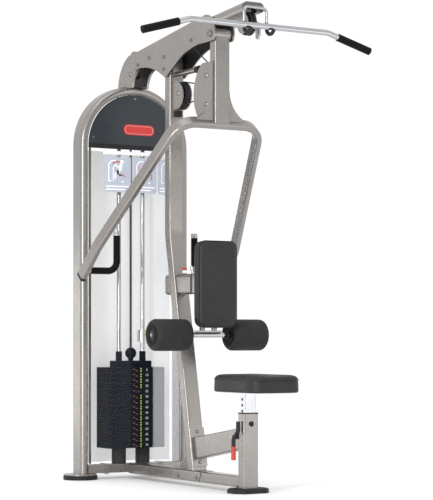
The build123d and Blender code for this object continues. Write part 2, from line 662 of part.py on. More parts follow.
def arm_stem():
    """Hub, upright stem and the two curved gussets that join it to the yoke."""
    low_z = CROSSBAR_Z - 12
    stem = block((-37.5, 37.5), (PIVOT_AHEAD - 25, PIVOT_AHEAD + 25), (low_z, PIVOT_Z))
    stem = fillet(stem.edges().filter_by(Axis.Z), 7)
    stem -= block((-34, 34), (PIVOT_AHEAD - 21.5, PIVOT_AHEAD + 21.5), (low_z - 1, PIVOT_Z - 20))
    stem -= block((-40, 40), (PIVOT_AHEAD - 30, PIVOT_AHEAD - 8), (low_z - 1, CROSSBAR_Z + 6))
    arm = stem + arm_hub() + arm_gusset() + mirror(arm_gusset(), about=Plane.YZ)
    arm -= yoke_outside()
    return arm - rod_x(PIVOT_RADIUS + RUNNING_GAP, -60, 60, PIVOT_AHEAD, PIVOT_Z)


def cam_plates():
    """Two half-round plates on the stem, with the cable anchors across them."""
    rear = PIVOT_AHEAD - 25
    curve = Line((PIVOT_AHEAD + 10, 1640), (PIVOT_AHEAD + 10, 1873))
    curve += Line((PIVOT_AHEAD + 10, 1873), (rear - 55, 1873))
    curve += ThreePointArc((rear - 55, 1873), (657, 1757), (rear - 93, 1642))
    curve += Line((rear - 93, 1642), (rear, 1628))
    curve += Line((rear, 1628), (PIVOT_AHEAD + 10, 1640))
    plate = side_plate(make_face(curve), 37.5, 43.4) - yoke_outside() - arm_gusset()
    pair = plate + mirror(plate, about=Plane.YZ)
    for z in (1819, 1692):
        pair += rod_x(9, -37.6, 37.6, PIVOT_AHEAD - 50, z)
    return pair


def handle_path(side, start_x, top_z):
    """From the yoke's lower end inwards, then up."""
    return FilletPolyline((side * start_x, ahead(HANDLE_AHEAD), HANDLE_Z),
                          (side * HANDLE_X, ahead(HANDLE_AHEAD), HANDLE_Z),
                          (side * HANDLE_X, ahead(HANDLE_AHEAD), top_z), radius=45)


def arm_handles():
    bars = []
    for side in (-1, 1):
        bar = swept(handle_path(side, YOKE_END_X, HANDLE_TOP_Z), Circle(12.5), (0, 1, 0))
        bars.append(bar - yoke_outside())
    return Compound(children=bars)


def handle_grips():
    grips = []
    for side in (-1, 1):
        path = handle_path(side, 342, HANDLE_TOP_Z - 20)
        grips.append(swept(path, Circle(15.5) - Circle(12.55), (0, 1, 0)))
    return Compound(children=grips)


def yoke_end_caps():
    """Plugs that round off the open lower ends of the yoke."""
    caps = []
    tilt = math.radians(YOKE_TILT)
    path = yoke_path()
    for at, sign in ((0, -1), (1, 1)):
        outward = (path % at) * sign
        start = Plane(origin=path @ at, x_dir=(0, math.sin(tilt), math.cos(tilt)), z_dir=outward)
        plug = extrude(start * RectangleRounded(YOKE_DEPTH, YOKE_THICK, YOKE_ROUND), amount=18)
        end_face = plug.faces().sort_by(Axis(path @ at, outward))[-1]
        caps.append(chamfer(end_face.edges(), 6))
    return Compound(children=caps)


# ---------------------------------------------------------------- cables held by the machine
def row_cable():
    """From the cam's upper anchor, round the column pulley and back to the lower anchor."""
    off_pulley = PULLEY_RADIUS + 3
    runs = []
    for side, cam_z in ((1, 1776), (-1, 1737)):
        at_pulley = (0, ahead(COLUMN_PULLEY_AHEAD + 8), COLUMN_PULLEY_Z + side * off_pulley)
        run = Line((0, ahead(736), cam_z), at_pulley)
        runs.append(swept(run, Circle(CABLE_RADIUS - 1), (1, 0, 0)))
    return Compound(children=runs)


def lat_cable():
    """Short end of the pull-down cable, in front of the front pulley, with its end fitting."""
    x_front = FRONT_PULLEY_AHEAD + PULLEY_RADIUS + 5
    cable = rod_z(CABLE_RADIUS, 0, x_front, 2014, FRONT_PULLEY_Z + 2)
    return cable + rod_z(6, 0, x_front, 1996, 2014)


# ---------------------------------------------------------------- lat bar
def bar_path():
    ends = [(-BAR_END_X, ahead(BAR_AHEAD), BAR_END_Z), (-BAR_BEND_X, ahead(BAR_AHEAD), BAR_Z),
            (BAR_BEND_X, ahead(BAR_AHEAD), BAR_Z), (BAR_END_X, ahead(BAR_AHEAD), BAR_END_Z)]
    return FilletPolyline(*ends, radius=90)


def lat_bar():
    """Chrome bar with drooping ends and a welded eye in its middle."""
    bar = swept(bar_path(), Circle(BAR_RADIUS), (0, 1, 0))
    eye = side_plate(Pos(EYE_AHEAD, EYE_Z) * Circle(15) + Pos(EYE_AHEAD + 7, EYE_Z + 20) * Rectangle(22, 34), -4, 4)
    return bar + eye - rod_x(8.5, -10, 10, EYE_AHEAD, EYE_Z)


def lat_grips():
    """Rubber sleeves over the sloping ends of the bar."""
    grips = []
    slope = math.atan2(BAR_Z - BAR_END_Z, BAR_END_X - BAR_BEND_X)
    for side in (-1, 1):
        inner = Vector(side * GRIP_START_X, ahead(BAR_AHEAD), BAR_Z - (GRIP_START_X - BAR_BEND_X) * math.tan(slope))
        outer = Vector(side * BAR_END_X, ahead(BAR_AHEAD), BAR_END_Z)
        path = Line(inner, outer)
        sleeve = swept(path, Circle(16.5) - Circle(BAR_RADIUS + 0.05), (0, 1, 0))
        end_path = Line(outer, outer + (outer - inner).normalized() * 4)
        sleeve += swept(end_path, Circle(16.5), (0, 1, 0))
        grips.append(sleeve)
    return Compound(children=grips)


def carabiner():
    """Snap link that joins the bar's eye to the cable's end."""
    centre = Plane(origin=(0, ahead(EYE_AHEAD), EYE_Z + 28), x_dir=(1, 0, 0), z_dir=(0, -1, 0))
    half_height = 28
    half_width = 10
    left = Line((-half_width, -half_height + 10), (-half_width, half_height - 10))
    top = ThreePointArc((-half_width, half_height - 10), (0, half_height), (half_width, half_height - 10))
    right = Line((half_width, half_height - 10), (half_width, -half_height + 10))
    bottom = ThreePointArc((half_width, -half_height + 10), (0, -half_height), (-half_width, -half_height + 10))
    return swept(centre * (left + top + right + bottom), Circle(3.5), (0, 1, 0))


# ---------------------------------------------------------------- seat
def seat_inner_post():
    """Chrome post with its row of lock holes, and the steel plate under the pad."""
    post = block((-INNER_POST_X / 2, INNER_POST_X / 2),
                 (POST_AHEAD - INNER_POST_Y / 2, POST_AHEAD + INNER_POST_Y / 2), (120, SEAT_LOW_Z - 6))
    post = fillet(post.edges().filter_by(Axis.Z), 5)
    for index in range(9):
        post -= rod_x(7, -INNER_POST_X / 2 - 1, -INNER_POST_X / 2 + 8, POST_AHEAD, 200 + index * 25)
    return post + block((-90, 90), (SEAT_AHEAD - 140, SEAT_AHEAD + 140), (SEAT_LOW_Z - 6, SEAT_LOW_Z))


def seat_pad():
    pad = block((-SEAT_HALF_X, SEAT_HALF_X), (SEAT_AHEAD - SEAT_HALF_Y, SEAT_AHEAD + SEAT_HALF_Y),
                (SEAT_LOW_Z, SEAT_HIGH_Z))
    pad = fillet(pad.edges().filter_by(Axis.Z), 50)
    return fillet(pad.faces().sort_by(Axis.Z)[-1].edges(), 14)


def lever_grip(radius, z0, z1):
    return rod_z(radius, LEVER_GRIP_X, POST_AHEAD, z0, z1)


def seat_lever():
    """Cranked handle on the left of the post; squeezing it to the post draws the lock pin."""
    y = ahead(POST_AHEAD)
    path = FilletPolyline((LEVER_X - 2, y, LEVER_Z + 66), (LEVER_X - 2, y, LEVER_Z + 24),
                          (LEVER_GRIP_X, y, LEVER_Z - 10), (LEVER_GRIP_X, y, LEVER_Z - 94), radius=18)
    web = block((LEVER_GRIP_X, LEVER_X), (POST_AHEAD - 10, POST_AHEAD + 10), (LEVER_Z - 8, LEVER_Z + 8))
    barrel = rod_y(8, LEVER_X, POST_AHEAD - 14, POST_AHEAD + 14, LEVER_Z)
    lever = swept(path, Circle(LEVER_RADIUS), (0, 1, 0)) + web + barrel
    return lever - rod_y(4 + RUNNING_GAP, LEVER_X, POST_AHEAD - 30, POST_AHEAD + 30, LEVER_Z)


def lever_tip():
    """Red sleeve with a closed end on the lower part of the lever."""
    sleeve = lever_grip(LEVER_RADIUS + 1.2, LEVER_Z - 98, LEVER_Z - 40)
    return sleeve - lever_grip(LEVER_RADIUS, LEVER_Z - 94, LEVER_Z)


# ---------------------------------------------------------------- chest pad
def chest_slide():
    """Sliding tube, the bored block for the roller posts, and the plate behind the pad."""
    slide = block((-SLIDE_X / 2, SLIDE_X / 2), (400, YOKE_BLOCK_REAR), (CHEST_Z - SLIDE_Z / 2, CHEST_Z + SLIDE_Z / 2))
    slide -= block((-18, 18), (399, YOKE_BLOCK_REAR), (CHEST_Z - 36, CHEST_Z + 36))
    slide += block((-50, 50), (YOKE_BLOCK_REAR, 728), (CHEST_Z - 45, CHEST_Z + 45))
    slide += block((-30, 30), (728, PAD_BACK - 6), (CHEST_Z - 45, CHEST_Z + 45))
    slide += block((-80, 80), (PAD_BACK - 6, PAD_BACK), (CHEST_Z - 170, CHEST_Z + 170))
    for x in (-ROLLER_POST_X, ROLLER_POST_X):
        slide -= rod_z(12.5 + RUNNING_GAP, x, ROLLER_AHEAD, CHEST_Z - 60, CHEST_Z + 60)
    return slide


def chest_pad():
    pad = block((-CHEST_PAD_WIDTH / 2, CHEST_PAD_WIDTH / 2), (PAD_BACK, CHEST_FRONT), (CHEST_LOW_Z, CHEST_HIGH_Z))
    pad = fillet(pad.edges().filter_by(Axis.Y), 36)
    return fillet(pad.faces().sort_by(Axis.Y)[0].edges(), 15)


def chest_knob():
    """Pull pin on top of the sleeve that locks the chest pad's slide."""
    pin = rod_z(6, 0, KNOB_AHEAD, CHEST_Z + SLIDE_Z / 2 + 2, CHEST_Z + 60)
    return pin + rod_z(11, 0, KNOB_AHEAD, CHEST_Z + 60, CHEST_Z + 78)


# ---------------------------------------------------------------- thigh rollers
def roller_carriage():
    """Two posts joined by a flat bar; they slide up and down in the block behind the pad."""
    carriage = block((-62, 62), (ROLLER_AHEAD - 16, ROLLER_AHEAD + 16), (ROLLER_Z + 12, ROLLER_Z + 20))
    for x in (-ROLLER_POST_X, ROLLER_POST_X):
        carriage += rod_z(12.5, x, ROLLER_AHEAD, ROLLER_Z + 20, 985)
    return carriage


def roller_shaft():
    return rod_x(ROLLER_SHAFT_RADIUS, -ROLLER_OUT_X + 8, ROLLER_OUT_X - 8, ROLLER_AHEAD, ROLLER_Z)


def roller(side):
    """One foam roller, recessed at its outer end for the cap."""
    foam = rod_x(ROLLER_RADIUS, side * ROLLER_IN_X, side * ROLLER_OUT_X, ROLLER_AHEAD, ROLLER_Z)
    foam = fillet(foam.edges().filter_by(GeomType.CIRCLE), 16)
    foam -= rod_x(38, side * (ROLLER_OUT_X - 8), side * (ROLLER_OUT_X + 1), ROLLER_AHEAD, ROLLER_Z)
    return foam - rod_x(ROLLER_SHAFT_RADIUS + 0.3, side * 100, side * 290, ROLLER_AHEAD, ROLLER_Z)


def roller_caps():
    """Discs fixed to the shaft that keep the rollers on it."""
    caps = []
    for side in (-1, 1):
        outer = rod_x(36, side * (ROLLER_OUT_X - 7.4), side * (ROLLER_OUT_X - 1), ROLLER_AHEAD, ROLLER_Z)
        outer += rod_x(9, side * (ROLLER_OUT_X - 1), side * (ROLLER_OUT_X + 4), ROLLER_AHEAD, ROLLER_Z)
        inner = rod_x(20, side * (ROLLER_IN_X - 9), side * (ROLLER_IN_X - 0.6), ROLLER_AHEAD, ROLLER_Z)
        shaft = rod_x(ROLLER_SHAFT_RADIUS, side * 80, side * (ROLLER_OUT_X - 8), ROLLER_AHEAD, ROLLER_Z)
        caps.append(outer - shaft)
        caps.append(inner - shaft)
    return Compound(children=caps)


# ---------------------------------------------------------------- write every node
lowest_lifted = PLATE_COUNT - SELECTED_PLATES
nodes = {
    "tower_arch": tower_arch(),
    "rubber_feet": rubber_feet(),
    "cross_tube": cross_tube(),
    "header_panel": header_panel(),
    "front_shield": front_shield(),
    "rear_shield": rear_shield(),
    "guide_rods": guide_rods(),
    "stack_bumpers": stack_bumpers(),
    "lower_plates": plate_group(0, lowest_lifted),
    "upper_plates": plate_group(lowest_lifted, PLATE_COUNT),
    "head_plate": head_plate(),
    "stack_stem": stack_stem(),
    "stack_cable": stack_cable(),
    "selected_toggle": selected_toggle(),
    "increment_weight": increment_weight(),
    "base_rail": base_rail(),
    "column": column(),
    "strut": strut(),
    "seat_post": seat_post(),
    "post_collar": post_collar(),
    "front_foot": front_foot(),
    "frame_bolts": frame_bolts(),
    "boom_plates": boom_plates(),
    "boom_liner": boom_liner(),
    "boom_tube": boom_tube(),
    "boom_end_cap": boom_end_cap(),
    "rear_bracket": rear_bracket(),
    "bar_holder": bar_holder(),
    "holder_hooks": holder_hooks(),
    "front_pulley_plates": front_pulley_plates(),
    "column_bracket": column_bracket(),
    "arm_stop": arm_stop(),
    "arm_stop_rubber": arm_stop_rubber(),
    "arm_pivot_shaft": arm_pivot_shaft(),
    "arm_stem": arm_stem(),
    "arm_yoke": arm_yoke(),
    "cam_plates": cam_plates(),
    "arm_handles": arm_handles(),
    "handle_grips": handle_grips(),
    "yoke_end_caps": yoke_end_caps(),
    "row_cable": row_cable(),
    "lat_cable": lat_cable(),
    "column_pulley": placed_pulley(COLUMN_PULLEY_AHEAD, COLUMN_PULLEY_Z),
    "front_pulley": placed_pulley(FRONT_PULLEY_AHEAD, FRONT_PULLEY_Z),
    "boom_pulley": placed_pulley(PULLEY_RADIUS, BOOM_PULLEY_Z),
    "lat_bar": lat_bar(),
    "lat_grips": lat_grips(),
    "carabiner": carabiner(),
    "seat_inner_post": seat_inner_post(),
    "seat_pad": seat_pad(),
    "seat_lever": seat_lever(),
    "lever_tip": lever_tip(),
    "chest_slide": chest_slide(),
    "chest_pad": chest_pad(),
    "chest_knob": chest_knob(),
    "roller_carriage": roller_carriage(),
    "roller_shaft": roller_shaft(),
    "roller_left": roller(-1),
    "roller_right": roller(1),
    "roller_caps": roller_caps(),
}
for node, shape in nodes.items():
    save(node, shape)
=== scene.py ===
"""Looks for the seated pulldown and row machine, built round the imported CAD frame."""
import bpy
import bmesh
import json
import math
import numpy as np
from mathutils import Matrix, Vector


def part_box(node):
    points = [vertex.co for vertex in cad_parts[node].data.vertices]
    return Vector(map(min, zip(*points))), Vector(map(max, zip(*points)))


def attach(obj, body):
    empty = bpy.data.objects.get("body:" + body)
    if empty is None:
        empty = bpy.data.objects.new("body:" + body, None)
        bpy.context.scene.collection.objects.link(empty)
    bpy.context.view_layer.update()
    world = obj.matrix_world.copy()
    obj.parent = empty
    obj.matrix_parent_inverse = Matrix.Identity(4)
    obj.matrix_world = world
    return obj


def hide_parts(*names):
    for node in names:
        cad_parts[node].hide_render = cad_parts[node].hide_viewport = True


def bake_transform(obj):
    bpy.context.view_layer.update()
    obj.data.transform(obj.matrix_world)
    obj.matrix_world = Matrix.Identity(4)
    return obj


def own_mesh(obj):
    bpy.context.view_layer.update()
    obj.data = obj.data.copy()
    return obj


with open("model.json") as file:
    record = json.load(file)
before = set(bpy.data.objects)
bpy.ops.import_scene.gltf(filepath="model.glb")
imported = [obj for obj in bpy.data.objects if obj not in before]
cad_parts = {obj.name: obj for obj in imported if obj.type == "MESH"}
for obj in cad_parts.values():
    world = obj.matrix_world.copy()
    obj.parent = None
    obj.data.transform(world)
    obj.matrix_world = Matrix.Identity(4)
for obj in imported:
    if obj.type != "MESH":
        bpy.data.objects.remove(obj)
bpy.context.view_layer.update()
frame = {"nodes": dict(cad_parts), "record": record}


# ---------------------------------------------------------------- places read from the frame
def middle(node):
    low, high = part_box(node)
    return (low + high) / 2


TOWER_Y = middle("stack_cable").y             # the tower's centre plane


# ---------------------------------------------------------------- camera, lights and floor
VIEW_AZIMUTH = math.radians(31.5)             # the camera stands this far round to the machine's left
VIEW_DISTANCE = 8.88                          # from the tower, along the view
VIEW_SIDE = 0.408                             # to the right of the tower, across the view
VIEW_HEIGHT = 0.675
LENS_MM = 134.5
FRAME_SHIFT = 0.17                            # the camera is level and the frame is shifted up


def make_camera():
    forward = Vector((math.sin(VIEW_AZIMUTH), math.cos(VIEW_AZIMUTH), 0))
    right = Vector((math.cos(VIEW_AZIMUTH), -math.sin(VIEW_AZIMUTH), 0))
    data = bpy.data.cameras.new("camera")
    data.lens = LENS_MM
    data.sensor_width = 36
    data.shift_y = FRAME_SHIFT
    data.clip_end = 100
    camera = bpy.data.objects.new("camera", data)
    camera.location = Vector((0, TOWER_Y, VIEW_HEIGHT)) - forward * VIEW_DISTANCE + right * VIEW_SIDE
    camera.rotation_euler = (math.radians(90), 0, -VIEW_AZIMUTH)
    bpy.context.scene.collection.objects.link(camera)
    bpy.context.scene.camera = camera


def area_light(name, place, target, width, height, power, color=(1, 1, 1)):
    data = bpy.data.lights.new(name, "AREA")
    data.shape = "RECTANGLE"
    data.size = width
    data.size_y = height
    data.energy = power
    data.color = color
    lamp = bpy.data.objects.new(name, data)
    lamp.location = place
    lamp.rotation_euler = (Vector(target) - Vector(place)).to_track_quat("-Z", "Y").to_euler()
    bpy.context.scene.collection.objects.link(lamp)


def make_stage():
    world = bpy.data.worlds.new("studio")
    world.use_nodes = True
    background = world.node_tree.nodes["Background"]
    background.inputs["Color"].default_value = (1, 1, 1, 1)
    background.inputs["Strength"].default_value = 1.04
    bpy.context.scene.world = world
    centre = (0, 0, 1.1)
    area_light("edge_strip", (-4.0, -2.5, 1.5), centre, 0.42, 3.8, 130)
    area_light("low_left", (-2.2, 3.5, 0.62), (0, 0, 0.62), 1.8, 1.2, 8)
    area_light("low_front", (2.2, -3.5, 0.68), (0, 0, 0.68), 1.8, 1.3, 9)
    area_light("top_softbox", (-0.6, -1.0, 4.4), centre, 2.4, 2.4, 18)
    mesh = bpy.data.meshes.new("floor")
    half = 14
    mesh.from_pydata([(-half, -half, 0), (half, -half, 0), (half, half, 0), (-half, half, 0)], [], [(0, 1, 2, 3)])
    floor = bpy.data.objects.new("floor", mesh)
    bpy.context.scene.collection.objects.link(floor)
    floor.location.z = -0.0005
    mesh.materials.append(floor_material())
    bpy.context.scene.view_settings.view_transform = "Standard"


# ---------------------------------------------------------------- material tools
class Nodes:
    """Short way to build one material's node tree."""

    def __init__(self, name):
        self.material = bpy.data.materials.new(name)
        self.material.use_nodes = True
        self.tree = self.material.node_tree
        self.shader = self.tree.nodes["Principled BSDF"]
        self.coords = self.tree.nodes.new("ShaderNodeTexCoord").outputs["Object"]

    def add(self, kind, **settings):
        node = self.tree.nodes.new("ShaderNode" + kind)
        for key, value in settings.items():
            setattr(node, key, value)
        return node

    def join(self, source, target):
        self.tree.links.new(source, target)

    def set(self, **values):
        for key, value in values.items():
            self.shader.inputs[key.replace("_", " ")].default_value = value

    def noise(self, scale, detail=4.0, roughness=0.55, stretch=None):
        node = self.add("TexNoise")
        node.inputs["Scale"].default_value = scale
        node.inputs["Detail"].default_value = detail
        node.inputs["Roughness"].default_value = roughness
        self.join(self.stretched(stretch), node.inputs["Vector"])
        return node.outputs["Fac"]

    def cells(self, scale, feature="DISTANCE_TO_EDGE"):
        node = self.add("TexVoronoi", feature=feature)
        node.inputs["Scale"].default_value = scale
        self.join(self.coords, node.inputs["Vector"])
        return node.outputs["Distance"]

    def stretched(self, stretch):
        if stretch is None:
            return self.coords
        node = self.add("Mapping")
        node.inputs["Scale"].default_value = stretch
        self.join(self.coords, node.inputs["Vector"])
        return node.outputs["Vector"]

    def ramp(self, value, low, high, low_color, high_color):
        node = self.add("ValToRGB")
        node.color_ramp.elements[0].position = low
        node.color_ramp.elements[1].position = high
        node.color_ramp.elements[0].color = (*low_color, 1)
        node.color_ramp.elements[1].color = (*high_color, 1)
        self.join(value, node.inputs["Fac"])
        return node.outputs["Color"]

    def spread(self, value, low, high):
        """Maps 0.3..0.7 of a noise to low..high."""
        node = self.add("MapRange")
        node.inputs["From Min"].default_value = 0.3
        node.inputs["From Max"].default_value = 0.7
        node.inputs["To Min"].default_value = low
        node.inputs["To Max"].default_value = high
        self.join(value, node.inputs["Value"])
        return node.outputs["Result"]

    def bump(self, value, distance, strength=1.0, below=None):
        node = self.add("Bump")
        node.inputs["Distance"].default_value = distance
        node.inputs["Strength"].default_value = strength
        self.join(value, node.inputs["Height"])
        if below is not None:
            self.join(below, node.inputs["Normal"])
        self.join(node.outputs["Normal"], self.shader.inputs["Normal"])
        return node.outputs["Normal"]

    def tint(self, color, change, scale):
        """A colour that drifts a little lighter and darker over the surface."""
        dark = tuple(c * (1 - change) for c in color)
        light = tuple(min(1, c * (1 + change)) for c in color)
        self.join(self.ramp(self.noise(scale), 0.3, 0.7, dark, light), self.shader.inputs["Base Color"])

    def gloss(self, low, high, scale, stretch=None):
        self.join(self.spread(self.noise(scale, 5, stretch=stretch), low, high), self.shader.inputs["Roughness"])


def floor_material():
    m = Nodes("studio_floor")
    m.tint((0.985, 0.985, 0.985), 0.005, 0.6)
    m.set(Roughness=0.7)
    return m.material


def painted_metal(name, color, rough=0.28, metal=0.88):
    """Satin metallic powder coat: fine orange peel and sparkle."""
    m = Nodes(name)
    m.tint(color, 0.045, 9)
    m.gloss(rough - 0.04, rough + 0.06, 40)
    m.set(Metallic=metal)
    m.bump(m.noise(140, 3), 0.00003, 0.4)
    return m.material


def coated_iron(name, color):
    """Wrinkle-finish paint on the weight plates."""
    m = Nodes(name)
    m.tint(color, 0.12, 14)
    m.gloss(0.46, 0.62, 90)
    m.set(Specular_IOR_Level=0.06)
    grain = m.bump(m.cells(700, "F1"), 0.00018, 0.5)
    m.bump(m.noise(160, 4), 0.00015, 0.4, grain)
    return m.material


def bright_metal(name, color, rough, scratch=0.00002):
    m = Nodes(name)
    m.tint(color, 0.03, 20)
    m.gloss(rough * 0.7, rough * 1.5, 60, (1, 1, 0.15))
    m.set(Metallic=1.0)
    m.bump(m.noise(900, 3, stretch=(1, 1, 0.05)), scratch, 0.5)
    return m.material


def moulded(name, color, rough, grain=0.00012, scale=900, coat=0.0, shine=0.22):
    """Moulded plastic or rubber with a fine spark-eroded texture."""
    m = Nodes(name)
    m.tint(color, 0.10, 30)
    m.gloss(rough - 0.06, rough + 0.08, 120)
    m.set(Coat_Weight=coat, Coat_Roughness=0.15, Specular_IOR_Level=shine)
    m.bump(m.noise(scale, 4), grain, 0.7)
    return m.material


def foam_skin(name, color):
    """Closed-cell foam with a smooth rubbery skin and tiny pores."""
    m = Nodes(name)
    m.tint(color, 0.14, 22)
    m.gloss(0.60, 0.78, 70)
    m.set(Sheen_Weight=0.02, Sheen_Roughness=0.5, Specular_IOR_Level=0.18)
    pores = m.bump(m.cells(1500, "F1"), 0.00022, 0.7)
    m.bump(m.noise(90, 5), 0.0005, 0.35, pores)
    return m.material


def grained_vinyl(name, color):
    """Upholstery vinyl: pebbled grain over soft stretch marks."""
    m = Nodes(name)
    m.tint(color, 0.10, 12)
    m.gloss(0.42, 0.56, 60)
    m.set(Specular_IOR_Level=0.25)
    pebble = m.bump(m.cells(620), 0.00016, 0.7)
    folds = m.bump(m.noise(38, 3), 0.0009, 0.30, pebble)
    m.bump(m.noise(1800, 3), 0.00005, 0.5, folds)
    return m.material


def clear_sheet(name):
    """Clear sheet that is hazier towards the machine's right side."""
    m = Nodes(name)
    m.tint((0.84, 0.86, 0.90), 0.01, 3)
    m.gloss(0.30, 0.42, 25)
    m.set(Specular_IOR_Level=0.2)
    split = m.add("SeparateXYZ")
    m.join(m.coords, split.inputs["Vector"])
    haze = m.add("MapRange", interpolation_type="SMOOTHSTEP")
    haze.inputs["From Min"].default_value = 0.060
    haze.inputs["From Max"].default_value = 0.085
    haze.inputs["To Min"].default_value = 0.006
    haze.inputs["To Max"].default_value = 0.20
    m.join(split.outputs["X"], haze.inputs["Value"])
    m.join(haze.outputs["Result"], m.shader.inputs["Alpha"])
    m.bump(m.noise(30, 2), 0.0002, 0.2)
    return m.material


def plain_print(name, color):
    """Printed card or sticker: flat colour with paper grain."""
    m = Nodes(name)
    m.tint(color, 0.04, 60)
    m.gloss(0.34, 0.46, 200)
    m.bump(m.noise(1500, 2), 0.00002, 0.4)
    return m.material


def frosted_sheet(name):
    """The milky sheet behind the stack."""
    m = Nodes(name)
    m.tint((0.80, 0.80, 0.80), 0.012, 2)
    m.gloss(0.45, 0.60, 25)
    m.set(Alpha=0.36, Specular_IOR_Level=0.3)
    m.bump(m.noise(30, 2), 0.0002, 0.2)
    return m.material


PAINT = painted_metal("frame_paint", (0.292, 0.275, 0.262))
MATERIALS = {
    "frame_paint": PAINT,
    "rubber": moulded("foot_rubber", (0.018, 0.018, 0.019), 0.62, 0.0002, 500),
    "grip_rubber": moulded("grip_rubber", (0.006, 0.006, 0.0065), 0.58, 0.0003, 1100, 0.0, 0.08),
    "black_plastic": moulded("black_plastic", (0.016, 0.016, 0.018), 0.42),
    "chrome": bright_metal("chrome", (0.43, 0.435, 0.45), 0.12),
    "bolt_steel": bright_metal("bolt_steel", (0.24, 0.235, 0.23), 0.20),
    "shield": clear_sheet("shield_sheet"),
    "header": moulded("header_plastic", (0.020, 0.024, 0.030), 0.34, 0.00006, 1400, 0.1, 0.4),
    "stack_paint": coated_iron("stack_paint", (0.006, 0.0085, 0.014)),
    "cable_black": moulded("cable_jacket", (0.020, 0.020, 0.022), 0.40, 0.00004, 600, 0.1),
    "vinyl": grained_vinyl("pad_vinyl", (0.021, 0.021, 0.0225)),
    "foam": foam_skin("roller_foam", (0.022, 0.022, 0.023)),
    "red_plastic": moulded("red_dip", (0.47, 0.035, 0.015), 0.30, 0.00005, 700, 0.2, 0.4),
}
PRINT = {
    "card": plain_print("placard_card", (0.42, 0.45, 0.53)),
    "white": plain_print("print_white", (0.86, 0.87, 0.88)),
    "pale": plain_print("print_pale", (0.70, 0.71, 0.74)),
    "red": plain_print("print_red", (0.50, 0.035, 0.03)),
    "pink": plain_print("print_pink", (0.62, 0.20, 0.22)),
    "black": plain_print("print_black", (0.010, 0.010, 0.011)),
    "yellow": plain_print("print_yellow", (0.30, 0.42, 0.03)),
    "maroon": plain_print("print_maroon", (0.12, 0.015, 0.02)),
    "figure": plain_print("print_figure", (0.52, 0.50, 0.49)),
    "badge": plain_print("badge_red", (0.52, 0.028, 0.022)),
}


# ---------------------------------------------------------------- mesh tools
def place(name, mesh, slot, body, smooth=True, material=None):
    """Links a mesh in the row frame and gives it a finish and a body."""
    thing = bpy.data.objects.new(name, mesh)
    bpy.context.scene.collection.objects.link(thing)
    mesh.materials.clear()
    mesh.materials.append(material or MATERIALS[slot])
    if smooth:
        for polygon in mesh.polygons:
            polygon.use_smooth = True
    if body:
        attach(thing, body)
    return thing


def mesh_of(name, points, faces):
    mesh = bpy.data.meshes.new(name)
    mesh.from_pydata([tuple(p) for p in points], [], faces)
    mesh.update()
    return mesh


def join_meshes(name, meshes):
    points = []
    faces = []
    for mesh in meshes:
        start = len(points)
        points += [tuple(v.co) for v in mesh.vertices]
        faces += [tuple(start + i for i in p.vertices) for p in mesh.polygons]
        bpy.data.meshes.remove(mesh)
    return mesh_of(name, points, faces)


def axes_about(direction):
    """Two unit vectors across a direction."""
    direction = Vector(direction).normalized()
    start = Vector((0, 0, 1)) if abs(direction.z) < 0.9 else Vector((1, 0, 0))
    first = direction.cross(start).normalized()
    return first, direction.cross(first).normalized()


def lathe(name, profile, centre, axis, segments=72):
    """Turns a profile of (distance along the axis, radius) about an axis; both ends close."""
    axis = Vector(axis).normalized()
    first, second = axes_about(axis)
    points = []
    faces = []
    for along, radius in profile:
        for step in range(segments):
            angle = 2 * math.pi * step / segments
            points.append(Vector(centre) + axis * along + (first * math.cos(angle) + second * math.sin(angle)) * radius)
    for ring in range(len(profile) - 1):
        for step in range(segments):
            after = (step + 1) % segments
            a = ring * segments
            b = a + segments
            faces.append((a + step, a + after, b + after, b + step))
    faces.append(tuple(reversed(range(segments))))
    last = (len(profile) - 1) * segments
    faces.append(tuple(last + step for step in range(segments)))
    mesh = mesh_of(name, points, faces)
    fix_normals(mesh)
    return mesh


def fix_normals(mesh):
    work = bmesh.new()
    work.from_mesh(mesh)
    bmesh.ops.recalc_face_normals(work, faces=work.faces)
    work.to_mesh(mesh)
    work.free()


def rounded_profile(length, radius, edge, steps=6):
    """Profile of a cylinder with both rims rounded."""
    profile = [(0.0, max(radius - edge, 1e-4))]
    for step in range(1, steps + 1):
        angle = math.pi / 2 * step / steps
        profile.append((edge - edge * math.cos(angle), radius - edge + edge * math.sin(angle)))
    for step in range(steps + 1):
        angle = math.pi / 2 * step / steps
        profile.append((length - edge + edge * math.sin(angle), radius - edge + edge * math.cos(angle)))
    return profile


def tube(name, points, radius, segments=20, closed=False):
    """A round tube along a line of points; each ring's axes are carried on from the one before."""
    points = [Vector(p) for p in points]
    count = len(points)
    rings = []
    side = None
    for index, point in enumerate(points):
        before = points[index - 1] if index or closed else point
        after = points[(index + 1) % count] if index < count - 1 or closed else point
        direction = (after - before).normalized()
        if side is None:
            side = axes_about(direction)[0]
        side = (side - direction * side.dot(direction)).normalized()
        other = direction.cross(side)
        rings.append([point + (side * math.cos(a) + other * math.sin(a)) * radius
                      for a in (2 * math.pi * s / segments for s in range(segments))])
    faces = []
    last = count if closed else count - 1
    for ring in range(last):
        a = ring * segments
        b = ((ring + 1) % count) * segments
        for step in range(segments):
            after = (step + 1) % segments
            faces.append((a + step, a + after, b + after, b + step))
    if not closed:
        faces.append(tuple(reversed(range(segments))))
        faces.append(tuple((count - 1) * segments + step for step in range(segments)))
    mesh = mesh_of(name, [p for ring in rings for p in ring], faces)
    fix_normals(mesh)
    return mesh


def box_mesh(name, low, high, bevel=0.001, segments=2):
    """A box with rounded edges."""
    work = bmesh.new()
    bmesh.ops.create_cube(work, size=1)
    low = Vector(low)
    high = Vector(high)
    for vertex in work.verts:
        vertex.co = Vector([(low[i] + high[i]) / 2 + vertex.co[i] * (high[i] - low[i]) for i in range(3)])
    bmesh.ops.bevel(work, geom=work.edges[:], offset=bevel, segments=segments, profile=0.5, affect="EDGES")
    mesh = bpy.data.meshes.new(name)
    work.to_mesh(mesh)
    work.free()
    return mesh


